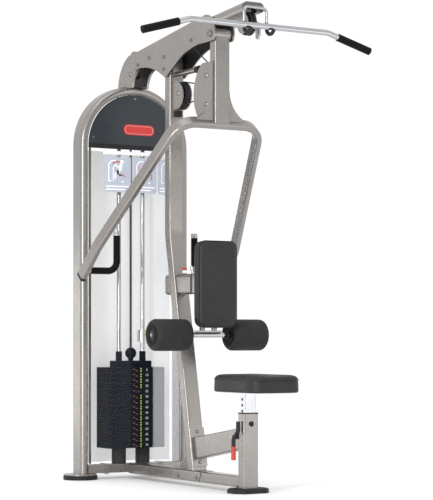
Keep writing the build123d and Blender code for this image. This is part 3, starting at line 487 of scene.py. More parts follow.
def rounded_loop(half_x, half_y, corner, per_corner=10):
    """Points round a rounded rectangle about the origin, anticlockwise."""
    loop = []
    for corner_x, corner_y, start in ((1, 1, 0), (-1, 1, 90), (-1, -1, 180), (1, -1, 270)):
        for step in range(per_corner + 1):
            angle = math.radians(start + 90 * step / per_corner)
            loop.append((corner_x * (half_x - corner) + corner * math.cos(angle),
                         corner_y * (half_y - corner) + corner * math.sin(angle)))
    return loop


# ---------------------------------------------------------------- finishes of the CAD nodes
BEVELLED = {
    "boom_plates": 0.0012, "rear_bracket": 0.0015, "cam_plates": 0.0012, "column_bracket": 0.001,
    "front_pulley_plates": 0.001, "cross_tube": 0.0015, "strut": 0.0012, "boom_end_cap": 0.003,
    "column": 0.0015, "arm_stem": 0.0012, "base_rail": 0.001, "chest_slide": 0.002, "post_collar": 0.002,
    "lower_plates": 0.0006, "upper_plates": 0.0006, "head_plate": 0.001, "rubber_feet": 0.004,
    "header_panel": 0.001, "roller_carriage": 0.001, "seat_inner_post": 0.0008, "seat_post": 0.001,
    "tower_arch": 0.001, "arm_stop": 0.001, "selected_toggle": 0.0008, "increment_weight": 0.001,
    "arm_stop_rubber": 0.003, "stack_bumpers": 0.003, "yoke_end_caps": 0.003,
}


SPECIAL = {
    "rear_shield": frosted_sheet("rear_sheet"),
    "increment_weight": bright_metal("increment_plating", (0.55, 0.55, 0.54), 0.30),
    # painted shade: the boom end cap gets a darker copy of the frame paint, standing in for its face in shadow
    "boom_end_cap": painted_metal("end_cap_painted_shade", (0.155, 0.145, 0.138), 0.34, 0.8),
    "carabiner": bright_metal("link_steel", (0.42, 0.42, 0.42), 0.30),
}


def finish_cad_nodes():
    slots = {part["node"]: part["material_slot"] for part in frame["record"]["subparts"]}
    for node, thing in frame["nodes"].items():
        thing.data.materials.clear()
        thing.data.materials.append(SPECIAL.get(node) or MATERIALS[slots[node]])
        if node in BEVELLED:
            bevel = thing.modifiers.new("edge", "BEVEL")
            bevel.width = BEVELLED[node]
            bevel.segments = 2
            bevel.limit_method = "ANGLE"
            bevel.angle_limit = math.radians(40)
            bevel.harden_normals = False


# ---------------------------------------------------------------- pads
def pad_shell(name, half_x, half_y, depth, corner, edge):
    """A closed slab with a rounded outline: local z runs from its back to its crowned face."""
    rings = [(0.004, 0.0), (0.0, 0.004)]
    rings += [(0.0, depth - edge)]
    for step in range(1, 6):
        angle = math.pi / 2 * step / 5
        rings.append((edge * (1 - math.cos(angle)), depth - edge + edge * math.sin(angle)))
    rings.append((edge + 0.02, depth + 0.002))
    points = []
    faces = []
    count = 0
    for inset, height in rings:
        loop = rounded_loop(half_x - inset, half_y - inset, max(corner - inset * 0.8, 0.004))
        count = len(loop)
        points += [(x, y, height) for x, y in loop]
    for ring in range(len(rings) - 1):
        for step in range(count):
            after = (step + 1) % count
            here = ring * count
            faces.append((here + step, here + after, here + count + after, here + count + step))
    faces.append(tuple(reversed(range(count))))
    faces.append(tuple((len(rings) - 1) * count + step for step in range(count)))
    return mesh_of(name, points, faces)


def puff(thing, pressure, most, voxel, back_share):
    """Inflates a pad as cloth; its back stays flat. Movement is capped at `most` metres."""
    remesh = thing.modifiers.new("remesh", "REMESH")
    remesh.mode = "VOXEL"
    remesh.voxel_size = voxel
    bpy.context.view_layer.objects.active = thing
    bpy.ops.object.modifier_apply(modifier=remesh.name)
    rest = np.array([v.co for v in thing.data.vertices])
    group = thing.vertex_groups.new(name="held")
    limit = rest[:, 2].min() + (rest[:, 2].max() - rest[:, 2].min()) * back_share
    group.add([int(i) for i in np.where(rest[:, 2] < limit)[0]], 1.0, "ADD")
    cloth = thing.modifiers.new("cloth", "CLOTH")
    cloth.settings.use_pressure = True
    cloth.settings.uniform_pressure_force = pressure
    cloth.settings.effector_weights.gravity = 0
    cloth.settings.vertex_group_mass = "held"
    cloth.settings.tension_stiffness = 25
    cloth.settings.compression_stiffness = 25
    cloth.settings.bending_stiffness = 2
    cloth.collision_settings.use_self_collision = False
    scene = bpy.context.scene
    for number in range(1, 21):
        scene.frame_set(number)
    shaped = thing.evaluated_get(bpy.context.evaluated_depsgraph_get())
    moved = np.array([v.co for v in shaped.data.vertices])
    thing.modifiers.remove(cloth)
    scene.frame_set(1)
    step = moved - rest
    length = np.linalg.norm(step, axis=1, keepdims=True)
    step *= np.minimum(1, most / np.maximum(length, 1e-9))
    thing.data.vertices.foreach_set("co", (rest + step).ravel())
    smooth = thing.modifiers.new("smooth", "SMOOTH")
    smooth.iterations = 4
    finer = thing.modifiers.new("finer", "SUBSURF")
    finer.levels = 1
    finer.render_levels = 1
    for modifier in ("smooth", "finer"):
        bpy.ops.object.modifier_apply(modifier=modifier)


def press_seams(thing, lines, depth, width):
    """Presses sewn lines into a pad. Each line is (axis, place): a plane across x or y in the pad's own frame."""
    co = np.array([v.co for v in thing.data.vertices])
    normals = np.array([v.normal for v in thing.data.vertices])
    for axis, at in lines:
        distance = np.abs(co[:, axis] - at)
        co = co - normals * (depth * np.exp(-(distance / width) ** 2))[:, None]
    thing.data.vertices.foreach_set("co", co.ravel())


def make_pad(name, node, turn, half_x, half_y, depth, corner, edge, back, seams, most):
    """Builds a pad in its own frame, puffs it, presses its seams and sets it in place."""
    mesh = pad_shell(name, half_x, half_y, depth, corner, edge)
    pad = place(name, mesh, "vinyl", None)
    puff(pad, 4.0, most, 0.005, 0.12)
    press_seams(pad, seams, 0.0016, 0.0030)
    pad.data.transform(turn)
    pad.data.update()
    for polygon in pad.data.polygons:
        polygon.use_smooth = True
    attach(pad, back)
    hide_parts(node)
    return pad


def welt(name, node_turn, half_x, half_y, corner, height, body, radius=0.0021):
    """Piping sewn round a pad's edge."""
    loop = [node_turn @ Vector((x, y, height)) for x, y in rounded_loop(half_x, half_y, corner, 14)]
    place(name, tube(name, loop, radius, 10, closed=True), "vinyl", body)


def make_chest_pad():
    low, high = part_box("chest_pad")
    half_x = (high.x - low.x) / 2
    half_z = (high.z - low.z) / 2
    depth = high.y - low.y
    # local x stays x, local y is up, local z points to the user (-Y)
    turn = Matrix.Translation(Vector((0, high.y, (low.z + high.z) / 2))) @ Matrix.Rotation(math.radians(90), 4, "X")
    seam_at = half_z - 0.052
    seams = [(1, seam_at), (1, -seam_at)]
    make_pad("chest_cushion", "chest_pad", turn, half_x - 0.003, half_z - 0.003, depth - 0.004, 0.036, 0.016,
             "chest", seams, 0.0018)
    welt("chest_welt", turn, half_x - 0.0034, half_z - 0.0034, 0.036, depth - 0.017, "chest")


def make_seat_pad():
    low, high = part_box("seat_pad")
    centre = (low + high) / 2
    half_x = (high.x - low.x) / 2
    half_y = (high.y - low.y) / 2
    depth = high.z - low.z
    turn = Matrix.Translation(Vector((centre.x, centre.y, low.z)))
    make_pad("seat_cushion", "seat_pad", turn, half_x - 0.003, half_y - 0.003, depth - 0.004, 0.058, 0.018,
             "seat", [], 0.0018)
    welt("seat_welt", turn, half_x - 0.0034, half_y - 0.0034, 0.058, depth - 0.021, "seat")


# ---------------------------------------------------------------- thigh rollers
def make_rollers():
    caps = []
    for side, node, body in ((-1, "roller_left", "left_roller"), (1, "roller_right", "right_roller")):
        low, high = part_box(node)
        radius = (high.z - low.z) / 2
        centre = (low + high) / 2
        length = high.x - low.x
        edge = 0.020
        dish = 0.047                              # radius of the recess in each end
        profile = [(0.010, 0.0125), (0.010, dish - 0.006), (0.006, dish - 0.001), (0.002, dish + 0.002)]
        profile += [(0.0, radius - edge)]
        for step in range(1, 9):
            angle = math.pi / 2 * step / 8
            profile.append((edge - edge * math.cos(angle), radius - edge + edge * math.sin(angle)))
        profile += [(length - a, r) for a, r in reversed(profile)]
        start = Vector((low.x, centre.y, centre.z))
        foam = place(node + "_foam", lathe(node + "_foam", profile, start, (1, 0, 0), 96), "foam", body)
        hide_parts(node)
        for end in (-1, 1):
            hub = roller_hub(node, centre, length, end, dish)
            place(node + ("_hub_outer" if end == side else "_hub_inner"), hub, "black_plastic", body)
        outside = centre.x + side * (length / 2)
        cap = lathe("cap", rounded_profile(0.006, 0.022, 0.002), (outside - side * 0.007, centre.y, centre.z),
                    (side, 0, 0), 40)
        caps.append(cap)
        bolt = lathe("bolt", rounded_profile(0.005, 0.0085, 0.0022), (outside - side * 0.001, centre.y, centre.z),
                     (side, 0, 0), 32)
        place(node + "_bolt", bolt, "bolt_steel", "rollers")
        inside = centre.x - side * (length / 2)
        collar = lathe("collar", rounded_profile(0.009, 0.020, 0.002), (inside - side * 0.0005, centre.y, centre.z),
                       (-side, 0, 0), 40)
        caps.append(collar)
    ends = place("roller_end_caps", join_meshes("roller_end_caps", caps), "black_plastic", "rollers")
    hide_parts("roller_caps")


def roller_hub(node, centre, length, end, dish):
    """Plastic end hub: a flat ring and radial ribs in the foam's recess."""
    parts = []
    face = centre.x + end * (length / 2 - 0.0095)
    parts.append(lathe("ring", rounded_profile(0.003, 0.030, 0.001), (face, centre.y, centre.z), (end, 0, 0), 48))
    rim = [(0, dish - 0.004), (0.004, dish - 0.004), (0.0055, dish - 0.002), (0.004, dish), (0, dish)]
    parts.append(lathe("rim", rim, (face, centre.y, centre.z), (end, 0, 0), 64))
    ribs = 24
    for step in range(ribs):
        angle = 2 * math.pi * step / ribs
        rib = box_mesh("rib", (0.027, -0.0017, 0.0), (dish - 0.002, 0.0017, 0.0075), 0.0007, 1)
        turn = Matrix.Translation(Vector((face, centre.y, centre.z))) @ Matrix.Rotation(
            math.radians(90) * end, 4, "Y") @ Matrix.Rotation(angle, 4, "Z")
        rib.transform(turn)
        parts.append(rib)
    return join_meshes(node + "_hub", parts)


# ---------------------------------------------------------------- cables
def rope_mesh(name, points, radius, lay=0.030, strands=6):
    """A wire rope in a thin clear-black jacket: a tube whose skin follows the twist of its strands."""
    points = [Vector(p) for p in points]
    mesh = tube(name, points, radius, strands * 4)
    segments = strands * 4
    run = 0.0
    for ring in range(len(points)):
        if ring:
            run += (points[ring] - points[ring - 1]).length
        for step in range(segments):
            vertex = mesh.vertices[ring * segments + step]
            angle = 2 * math.pi * step / segments
            lift = 1 + 0.07 * math.cos(strands * (angle - 2 * math.pi * run / lay))
            vertex.co = points[ring] + (vertex.co - points[ring]) * lift
    return mesh


def straight(a, b, spacing):
    a = Vector(a)
    b = Vector(b)
    count = max(2, int((b - a).length / spacing))
    return [a.lerp(b, step / count) for step in range(count + 1)]


def make_stack_cable():
    low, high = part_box("stack_cable")
    bottom = (0, TOWER_Y, low.z - 0.004)
    top = (0, TOWER_Y, high.z + 0.004)
    rope = place("stack_rope", rope_mesh("stack_rope", straight(bottom, top, 0.0045), 0.0052), "cable_black", "frame")
    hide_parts("stack_cable")
    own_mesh(rope)


def ahead(distance):
    """Y of a point this many millimetres in front of the tower's centre plane."""
    return TOWER_Y - distance / 1000


def side_point(distance, height, x=0.0):
    """A point from millimetres ahead of the tower, above the floor and across."""
    return Vector((x / 1000, ahead(distance), height / 1000))


def side_arc(distance, height, radius, start, end, count=24):
    """Points round a wheel seen from the side; 0 degrees is its front, 90 its top."""
    points = []
    for step in range(count):
        angle = math.radians(start + (end - start) * step / (count - 1))
        points.append(side_point(distance + radius * math.cos(angle), height + radius * math.sin(angle)))
    return points


# Points of the side view are (millimetres ahead of the tower, millimetres above the floor).
CAM_UPPER_ANCHOR = (736, 1776)
CAM_LOWER_ANCHOR = (736, 1737)
ROW_GROOVE = 52.5                             # radius of the rope round the column pulley
BOOM_ROPE = ((560, 1976), (757, 1852))        # from inside the boom to the cam
LAT_GROOVE = 56                               # radius of the rope round the front pulley
LAT_FALL = 57                                 # the hanging end, ahead of that pulley's centre
LAT_END = 1999
ROPE_RADIUS = 0.0029
ROPE_LAY = 0.020                              # one turn of the strands
ROPE_STEP = 0.008


def make_row_cable():
    """Cable from the cam, over the back of the column pulley and back to the cam."""
    wheel = middle("column_pulley")
    reach = (TOWER_Y - wheel.y) * 1000
    height = wheel.z * 1000
    points = straight(side_point(*CAM_UPPER_ANCHOR), side_point(reach + 8, height + ROW_GROOVE), ROPE_STEP)
    points += side_arc(reach, height, ROW_GROOVE, 98, 262, 30)
    points += straight(side_point(reach + 8, height - ROW_GROOVE), side_point(*CAM_LOWER_ANCHOR), ROPE_STEP)
    rope = rope_mesh("row_rope", points, ROPE_RADIUS, ROPE_LAY)
    cable = place("row_rope", rope, "cable_black", None)
    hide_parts("row_cable")
    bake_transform(cable)


def make_boom_cable():
    """Cable out of the boom down into the cam."""
    points = straight(side_point(*BOOM_ROPE[0]), side_point(*BOOM_ROPE[1]), ROPE_STEP)
    rope = rope_mesh("boom_rope", points, ROPE_RADIUS, ROPE_LAY)
    cable = place("boom_rope", rope, "cable_black", None)
    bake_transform(cable)


def make_lat_cable():
    """End of the pull-down cable over the front pulley, with its swaged ball."""
    wheel = middle("front_pulley")
    reach = (TOWER_Y - wheel.y) * 1000
    height = wheel.z * 1000
    fall = reach + LAT_FALL
    points = straight(side_point(reach - 60, height + 52), side_point(reach - 4, height + 55), 0.006)
    points += side_arc(reach, height, LAT_GROOVE, 92, 4, 24)
    points += straight(side_point(fall, height), side_point(fall, LAT_END), 0.005)
    cable = place("lat_rope", rope_mesh("lat_rope", points, 0.0032, 0.022), "cable_black", None)
    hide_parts("lat_cable")
    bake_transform(cable)
    swage = [(0, 0.0042), (0.002, 0.0085), (0.006, 0.0112), (0.010, 0.0118), (0.014, 0.0105), (0.018, 0.0070),
             (0.0195, 0.0045)]
    ball = lathe("lat_ball", swage, side_point(fall, LAT_END - 7), (0, 0, 1), 40)
    place("lat_ball", ball, "black_plastic", "pull_bar")


# ---------------------------------------------------------------- shield, placards and badge
SHIELD_HALF = 241.0                           # half its width
SHIELD_SAG = 42.0                             # its middle stands this far ahead of its edges
SHIELD_EDGE = 51.0                            # its edges' front faces, ahead of the tower
SHIELD_RADIUS = (SHIELD_HALF ** 2 + SHIELD_SAG ** 2) / (2 * SHIELD_SAG)
STRIP_WIDTH = 12                              # printed sheets are cut in strips this wide to follow the bow
CARDS = ((-181, -49), (-38, 90), (101, 232))  # left and right edges of the three placards
CARD_LOW = 1344.0
CARD_HIGH = 1509.0
CARD_LIFT = 0.3                               # a card in front of the sheet
PRINT_LIFT = 0.6                              # ink in front of the sheet


def shield_point(x, z, lift):
    """A point on the bowed front sheet, from millimetres across and up; lift is in front of it."""
    bow = math.sqrt(SHIELD_RADIUS ** 2 - x ** 2) - SHIELD_RADIUS + SHIELD_SAG
    return side_point(SHIELD_EDGE + bow + lift, z, x)


def shield_patch(x0, x1, z0, z1, lift, thick=0.25):
    """A thin sheet that lies on the front shield, in strips narrow enough to follow its bow."""
    strips = max(1, int(abs(x1 - x0) / STRIP_WIDTH))
    points = []
    faces = []
    for step in range(strips + 1):
        x = x0 + (x1 - x0) * step / strips
        points += [shield_point(x, z0, lift), shield_point(x, z1, lift)]
        points += [shield_point(x, z0, lift + thick), shield_point(x, z1, lift + thick)]
    for step in range(strips):
        a = step * 4
        b = a + 4
        faces += [(a, b, b + 1, a + 1), (a + 2, a + 3, b + 3, b + 2)]
        faces += [(a, a + 2, b + 2, b), (a + 1, b + 1, b + 3, a + 3)]
    last = strips * 4
    faces += [(0, 1, 3, 2), (last, last + 2, last + 3, last + 1)]
    mesh = mesh_of("patch", points, faces)
    fix_normals(mesh)
    return mesh


def shield_shape(outline, lift, thick=0.25):
    """A small flat printed shape from its outline."""
    count = len(outline)
    points = [shield_point(x, z, lift) for x, z in outline] + [shield_point(x, z, lift + thick) for x, z in outline]
    faces = [tuple(range(count)), tuple(reversed(range(count, 2 * count)))]
    faces += [(i, (i + 1) % count, count + (i + 1) % count, count + i) for i in range(count)]
    mesh = mesh_of("shape", points, faces)
    fix_normals(mesh)
    return mesh


def disc_outline(x, z, radius, count=20):
    return [(x + radius * math.cos(2 * math.pi * i / count), z + radius * math.sin(2 * math.pi * i / count))
            for i in range(count)]


def stroke_outlines(points, width):
    """Quads along a printed line."""
    outlines = []
    for (x0, z0), (x1, z1) in zip(points, points[1:]):
        length = math.hypot(x1 - x0, z1 - z0)
        if length < 0.01:
            continue
        px = -(z1 - z0) / length * width / 2
        pz = (x1 - x0) / length * width / 2
        outlines.append([(x0 + px, z0 + pz), (x1 + px, z1 + pz), (x1 - px, z1 - pz), (x0 - px, z0 - pz)])
    return outlines


def arc_line(x, z, radius, start, end, count=12):
    return [(x + radius * math.cos(math.radians(start + (end - start) * i / (count - 1))),
             z + radius * math.sin(math.radians(start + (end - start) * i / (count - 1)))) for i in range(count)]


def placard_print(x, z, sitting):
    """Printed exercise picture about a centre: a machine's outline, a figure and an arrow of motion."""
    lines = {"white": [], "red": [], "black": [], "pink": []}
    lines["white"] += stroke_outlines([(x - 44, z - 46), (x - 44, z + 34), (x - 30, z + 50), (x - 8, z + 52)], 5)
    lines["white"] += stroke_outlines([(x - 44, z - 44), (x + 30, z - 48)], 5)
    lines["white"] += stroke_outlines([(x - 22, z - 44), (x - 22, z + 20), (x - 8, z + 36)], 4)
    lines["white"].append(disc_outline(x + 20, z + 46, 9))
    lines["white"] += stroke_outlines([(x + 16, z + 36), (x + 10, z + 2)], 14)
    lines["white"] += stroke_outlines([(x + 16, z + 30), (x + 4, z + 18), (x - 10, z + 30)], 6)
    lines["white"] += stroke_outlines([(x + 10, z - 2), (x - 12, z - 8), (x - 12, z - 34)], 8)
    lines["black"].append([(x - 6, z + 6), (x + 6, z + 6), (x + 6, z - 12), (x - 6, z - 12)])
    lines["black"].append([(x + 4, z - 12), (x + 30, z - 12), (x + 24, z - 20), (x + 6, z - 20)])
    if sitting:
        lines["red"] += stroke_outlines(arc_line(x - 2, z + 16, 30, 60, 140), 5)
        lines["pink"] += stroke_outlines(arc_line(x + 22, z - 30, 14, 10, 110), 6)
    else:
        lines["red"] += stroke_outlines(arc_line(x + 14, z - 18, 24, -40, 30), 5)
        lines["pink"] += stroke_outlines([(x - 34, z + 10), (x - 34, z + 34)], 5)
    return lines


def make_placards():
    """Three exercise placards and the pale strip of print above them."""
    z0 = CARD_LOW
    z1 = CARD_HIGH
    cards = [shield_patch(a, b, z0, z1, CARD_LIFT) for a, b in CARDS]
    place("placard_cards", join_meshes("placard_cards", cards), "shield", "frame", False, PRINT["card"])
    edge = [shield_patch(CARDS[0][0] - 4, CARDS[2][1] + 4, z1 + 10, z1 + 27, CARD_LIFT)]
    place("placard_heading", join_meshes("placard_heading", edge), "shield", "frame", False, PRINT["pale"])
    prints = {"white": [], "red": [], "black": [], "pink": []}
    for number, (a, b) in enumerate(CARDS):
        centre = (a + b) / 2
        for color, outlines in placard_print(centre, (z0 + z1) / 2 + 14, number != 1).items():
            prints[color] += [shield_shape(o, PRINT_LIFT + 0.05 * len(color)) for o in outlines]
        for row in range(2):
            z = z0 + 10 + row * 14
            prints["white"].append(shield_patch(a + 9, b - 9 - 22 * (1 - row), z, z + 6, PRINT_LIFT))
    for step in range(22):
        x = -176 + step * 18.4
        prints["white"].append(shield_patch(x, x + 11, z1 + 15, z1 + 22, PRINT_LIFT))
    for color, meshes in prints.items():
        place("placard_" + color, join_meshes("placard_" + color, meshes), "shield", "frame", False, PRINT[color])


def rounded_plate(name, centre_x, centre_z, half_x, half_z, corner, front, thick, hole=None):
    """A flat plate that faces the user, its front this far ahead of the tower; hole is a rim width."""
    outer = rounded_loop(half_x, half_z, corner, 8)
    count = len(outer)
    levels = (front - thick, front)
    points = []
    for level in levels:
        points += [side_point(level, centre_z + z, centre_x + x) for x, z in outer]
    faces = [(i, (i + 1) % count, count + (i + 1) % count, count + i) for i in range(count)]
    if hole is None:
        faces += [tuple(range(count)), tuple(reversed(range(count, 2 * count)))]
    else:
        inner = rounded_loop(half_x - hole, half_z - hole, corner - hole, 8)
        for level in levels:
            points += [side_point(level, centre_z + z, centre_x + x) for x, z in inner]
        for i in range(count):
            after = (i + 1) % count
            faces.append((count + i, count + after, 3 * count + after, 3 * count + i))
            faces.append((i, 2 * count + i, 2 * count + after, after))
            faces.append((2 * count + i, 3 * count + i, 3 * count + after, 2 * count + after))
    mesh = mesh_of(name, points, faces)
    fix_normals(mesh)
    return mesh


BADGE = (20, 1645)                            # centre of the plain badge, across and up
BADGE_HALF = (82, 25)
BADGE_INSET = 5                               # from the plate's edge to its pale outline


def make_header_details():
    """Plain badge with a pale outline, the header's dark lower band and the shield's edge strips."""
    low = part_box("header_panel")[0]
    front = (TOWER_Y - low.y) * 1000
    half_x, half_z = BADGE_HALF
    plate = rounded_plate("badge_plate", *BADGE, half_x, half_z, half_z - 1, front + 3, 3)
    place("badge_plate", plate, "header", "frame", False, PRINT["badge"])
    half_x -= BADGE_INSET
    half_z -= BADGE_INSET
    rim = rounded_plate("badge_rim", *BADGE, half_x, half_z, half_z - 1, front + 3.6, 1.0, 3.5)
    place("badge_rim", rim, "header", "frame", False, PRINT["pink"])
    bottom = low.z * 1000
    band = box_mesh("band", side_point(front + 2.5, bottom, -246), side_point(front, bottom + 22, 246), 0.0008)
    place("header_band", band, "black_plastic", "frame", False)
    strips = []
    for side in (-1, 1):
        a = side_point(53, 74, side * 248)
        b = side_point(44, low.z * 1000 - 1, side * 239)
        corner = [min(a[i], b[i]) for i in range(3)]
        other = [max(a[i], b[i]) for i in range(3)]
        strips.append(box_mesh("strip", corner, other, 0.0010))
    place("shield_trim", join_meshes("shield_trim", strips), "bolt_steel", "frame", False)


# ---------------------------------------------------------------- weight stack labels
def text_mesh(words, size_mm, x, z, front, depth=0.3):
    curve = bpy.data.curves.new("label", "FONT")
    curve.body = words
    curve.size = size_mm / 1000
    curve.extrude = depth / 2000
    curve.align_x = "CENTER"
    curve.align_y = "CENTER"
    curve.resolution_u = 3
    thing = bpy.data.objects.new("label", curve)
    bpy.context.scene.collection.objects.link(thing)
    bpy.context.view_layer.update()
    mesh = bpy.data.meshes.new_from_object(thing.evaluated_get(bpy.context.evaluated_depsgraph_get()))
    bpy.data.objects.remove(thing)
    turn = Matrix.Translation(side_point(front, z, x)) @ Matrix.Rotation(math.radians(90), 4, "X")
    mesh.transform(turn)
    return mesh


PLATE_PITCH = 25.4
PLATES = 15
LIFTED = 5                                    # plates above the selected toggle
NUMBER_X = 49
NUMBER_SIZE = 16
YELLOW_DASH_X = (13.5, 20.5)
MAROON_DASHES = ((-27, -14, 3.5), (-11, 1, -3.5))   # left, right and height above the plate's middle


def dash(name, x0, x1, z, half_height, front, thick, bevel):
    """A small raised mark on a plate's face."""
    return box_mesh(name, side_point(front + thick, z - half_height, x0), side_point(front, z + half_height, x1),
                    bevel, 1)


def plate_label(front, z, number, dashes):
    """Marks on one plate's face: a red dash, two toggles' dashes and its number."""
    marks = {"maroon": [], "yellow": [], "figure": []}
    for x0, x1, dz in MAROON_DASHES:
        marks["maroon"].append(dash("m", x0, x1, z + dz, 2.6, front, 0.4, 0.0001))
    for dz in (-6.2, 5.2) if dashes else ():
        marks["yellow"].append(dash("y", *YELLOW_DASH_X, z + dz, 3.4, front, 1.2, 0.0004))
    marks["figure"].append(text_mesh(str(number), NUMBER_SIZE, NUMBER_X, z, front + 0.3, 0.5))
    return marks


def make_stack_labels():
    """Dashes and a number on each plate; the toggle's own plate has no yellow dashes."""
    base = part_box("lower_plates")[0].z * 1000
    front = (TOWER_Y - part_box("lower_plates")[0].y) * 1000
    toggle = middle("selected_toggle")
    for body, rows in (("frame", range(PLATES - LIFTED)), ("stack", range(PLATES - LIFTED, PLATES))):
        marks = {"maroon": [], "yellow": [], "figure": []}
        for row in rows:
            z = base + (row + 0.5) * PLATE_PITCH
            clear = abs(z - toggle.z * 1000) > 14
            for color, meshes in plate_label(front, z, (PLATES - row) * 5, clear).items():
                marks[color] += meshes
        for color, meshes in marks.items():
            name = "labels_" + body + "_" + color
            place(name, join_meshes(name, meshes), "stack_paint", body, False, PRINT[color])


def make_increment_details():
    low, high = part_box("increment_weight")
    x = middle("guide_rods").x * 1000 + 64
    z = (low.z + high.z) * 500 + 14
    knob = lathe("increment_knob", rounded_profile(0.008, 0.0115, 0.002), side_point(38, z, x), (0, -1, 0), 32)
    place("increment_knob", knob, "stack_paint", "increment", True, PRINT["yellow"])
    dot = lathe("increment_dot", rounded_profile(0.003, 0.004, 0.001), side_point(45, z, x), (0, -1, 0), 24)
    place("increment_dot", dot, "black_plastic", "increment")


# ---------------------------------------------------------------- bolts, painted shade sheets and small parts
def dome_bolt(centre, axis, radius=0.009, height=0.0055):
    """Button-head bolt with a washer and a hex socket's dark floor."""
    profile = [(0, radius * 1.35), (0.0012, radius * 1.35), (0.0014, radius)]
    for step in range(1, 7):
        angle = math.pi / 2 * step / 6
        profile.append((0.0014 + height * math.sin(angle), max(radius * math.cos(angle), radius * 0.42)))
    profile.append((height * 0.55, radius * 0.40))
    return lathe("bolt", profile, centre, axis, 32)


CAM_BOLTS = ((766, 1816), (766, 1688))
CAM_FACE = 43.4                               # outer face of a cam plate, from the middle
BRACKET_BOLT = (77, 1902)
BRACKET_FACE = 46
PULLEY_BOLT = (490, 1768)
PULLEY_FACE = 25


def make_bolts():
    """Bolt heads on the cam, the rear bracket and the column pulley's bracket."""
    arm = []
    for bolt in CAM_BOLTS:
        for side in (-1, 1):
            arm.append(dome_bolt(side_point(*bolt, side * CAM_FACE), (side, 0, 0)))
    place("cam_bolts", join_meshes("cam_bolts", arm), "bolt_steel", "row_arm")
    fixed = []
    for side in (-1, 1):
        fixed.append(dome_bolt(side_point(*BRACKET_BOLT, side * BRACKET_FACE), (side, 0, 0)))
        fixed.append(dome_bolt(side_point(*PULLEY_BOLT, side * PULLEY_FACE), (side, 0, 0), 0.008))
    place("bracket_bolts", join_meshes("bracket_bolts", fixed), "bolt_steel", "frame")


def side_sheet(outline, x0, x1):
    """A flat sheet from a side outline in millimetres, between two X positions."""
    count = len(outline)
    points = [side_point(r, z, x0) for r, z in outline] + [side_point(r, z, x1) for r, z in outline]
    faces = [tuple(range(count)), tuple(reversed(range(count, 2 * count)))]
    faces += [(i, (i + 1) % count, count + (i + 1) % count, count + i) for i in range(count)]
    mesh = mesh_of("sheet", points, faces)
    fix_normals(mesh)
    return mesh


def through(a, b, c, count=12):
    """Points on the arc from a through b to c in a side view."""
    ax, az = a
    bx, bz = b
    cx, cz = c
    d = 2 * (ax * (bz - cz) + bx * (cz - az) + cx * (az - bz))
    ux = ((ax ** 2 + az ** 2) * (bz - cz) + (bx ** 2 + bz ** 2) * (cz - az) + (cx ** 2 + cz ** 2) * (az - bz)) / d
    uz = ((ax ** 2 + az ** 2) * (cx - bx) + (bx ** 2 + bz ** 2) * (ax - cx) + (cx ** 2 + cz ** 2) * (bx - ax)) / d
    radius = math.hypot(ax - ux, az - uz)
    start = math.atan2(az - uz, ax - ux)
    mid = math.atan2(bz - uz, bx - ux)
    end = math.atan2(cz - uz, cx - ux)
    while mid - start > math.pi:
        mid -= 2 * math.pi
    while mid - start < -math.pi:
        mid += 2 * math.pi
    way = 1 if mid > start else -1
    while (end - start) * way < 0:
        end += way * 2 * math.pi
    return [(ux + radius * math.cos(start + (end - start) * i / (count - 1)),
             uz + radius * math.sin(start + (end - start) * i / (count - 1))) for i in range(count)]


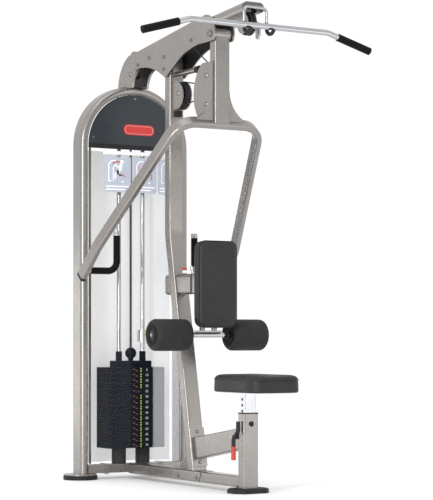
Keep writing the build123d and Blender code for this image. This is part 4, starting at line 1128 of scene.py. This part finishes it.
def make_bracket_liner():
    """Painted shade: black sheets on the inner faces of the two rear bracket plates, where those plates are only in
    shadow; and the splice lugs.
    """
    outline = through((-38, 1852), (-6, 1934), (66, 1988)) + [(136, 1998), (147, 1914)]
    outline += through((147, 1914), (110, 1886), (92, 1846))
    # painted shade: black sheets between the plates stand in for the shadow on their grey inner faces
    sheets = [side_sheet(outline, side * 33.9, side * 32.6) for side in (-1, 1)]
    place("bracket_painted_shade", join_meshes("bracket_painted_shade", sheets), "black_plastic", "frame", False)
    lugs = []
    for side in (-1, 1):
        slot_shape = [(r * math.cos(math.radians(7)) - z * math.sin(math.radians(7)) + 112,
                       r * math.sin(math.radians(7)) + z * math.cos(math.radians(7)) + 1960)
                      for r, z in rounded_loop(13, 41, 12.9, 8)]
        lugs.append(side_sheet(slot_shape, side * 46, side * 53.5))
    lug = place("splice_lugs", join_meshes("splice_lugs", lugs), "frame_paint", "frame", False)
    bevel = lug.modifiers.new("edge", "BEVEL")
    bevel.width = 0.003
    bevel.segments = 3


COLUMN_LEAN = 0.1935                          # run over rise of the column's front face
COLUMN_FRONT = (411 + 25.6, 1130)             # a point on that face
HANDLE_TOP = (243, 1129)
HANDLE_X = 207
TAGS = ((977, 9, "red"), (962, 12, "white"))  # height, size up the column and colour


def make_small_parts():
    """Cable clamp, plugs on the handles' tops, a black disc of painted shade in the seat lock's hole and two tags on
    the column.
    """
    clamp = box_mesh("clamp", side_point(454, 1667, -14), side_point(441, 1695, 18), 0.002)
    place("cable_clamp", clamp, "black_plastic", "frame", False)
    tips = []
    for side in (-1, 1):
        tip = [(0, 0.0152), (0.002, 0.0158), (0.012, 0.0158), (0.0125, 0.0148), (0.014, 0.0148), (0.0145, 0.0158),
               (0.020, 0.0156), (0.0222, 0.0138), (0.0225, 0.010)]
        tips.append(lathe("tip", tip, side_point(*HANDLE_TOP, side * HANDLE_X), (0, 0, 1), 40))
    place("handle_tips", join_meshes("handle_tips", tips), "chrome", "row_arm")
    # painted shade: a thin black disc stands in for the shade inside the seat lock's hole
    hole = lathe("lock_hole_painted_shade", rounded_profile(0.0015, 0.0112, 0.0004), side_point(1059.5, 295, 3), (0, -1, 0), 40)
    place("lock_hole_painted_shade", hole, "black_plastic", "frame")
    lean = math.atan(COLUMN_LEAN)
    for z, height, color in TAGS:
        mesh = box_mesh("tag", (0.010, -0.0006, -height / 2000), (0.036, 0.0, height / 2000), 0.0002, 1)
        reach = COLUMN_FRONT[0] + (COLUMN_FRONT[1] - z) * COLUMN_LEAN
        mesh.transform(Matrix.Translation(side_point(reach, z)) @ Matrix.Rotation(-lean, 4, "X"))
        place("column_tag_" + color, mesh, "frame_paint", "frame", False, PRINT[color])


# ---------------------------------------------------------------- build
make_camera()
make_stage()
finish_cad_nodes()
make_chest_pad()
make_seat_pad()
make_rollers()
make_stack_cable()
make_row_cable()
make_boom_cable()
make_lat_cable()
make_placards()
make_header_details()
make_stack_labels()
make_increment_details()
make_bolts()
make_bracket_liner()
make_small_parts()
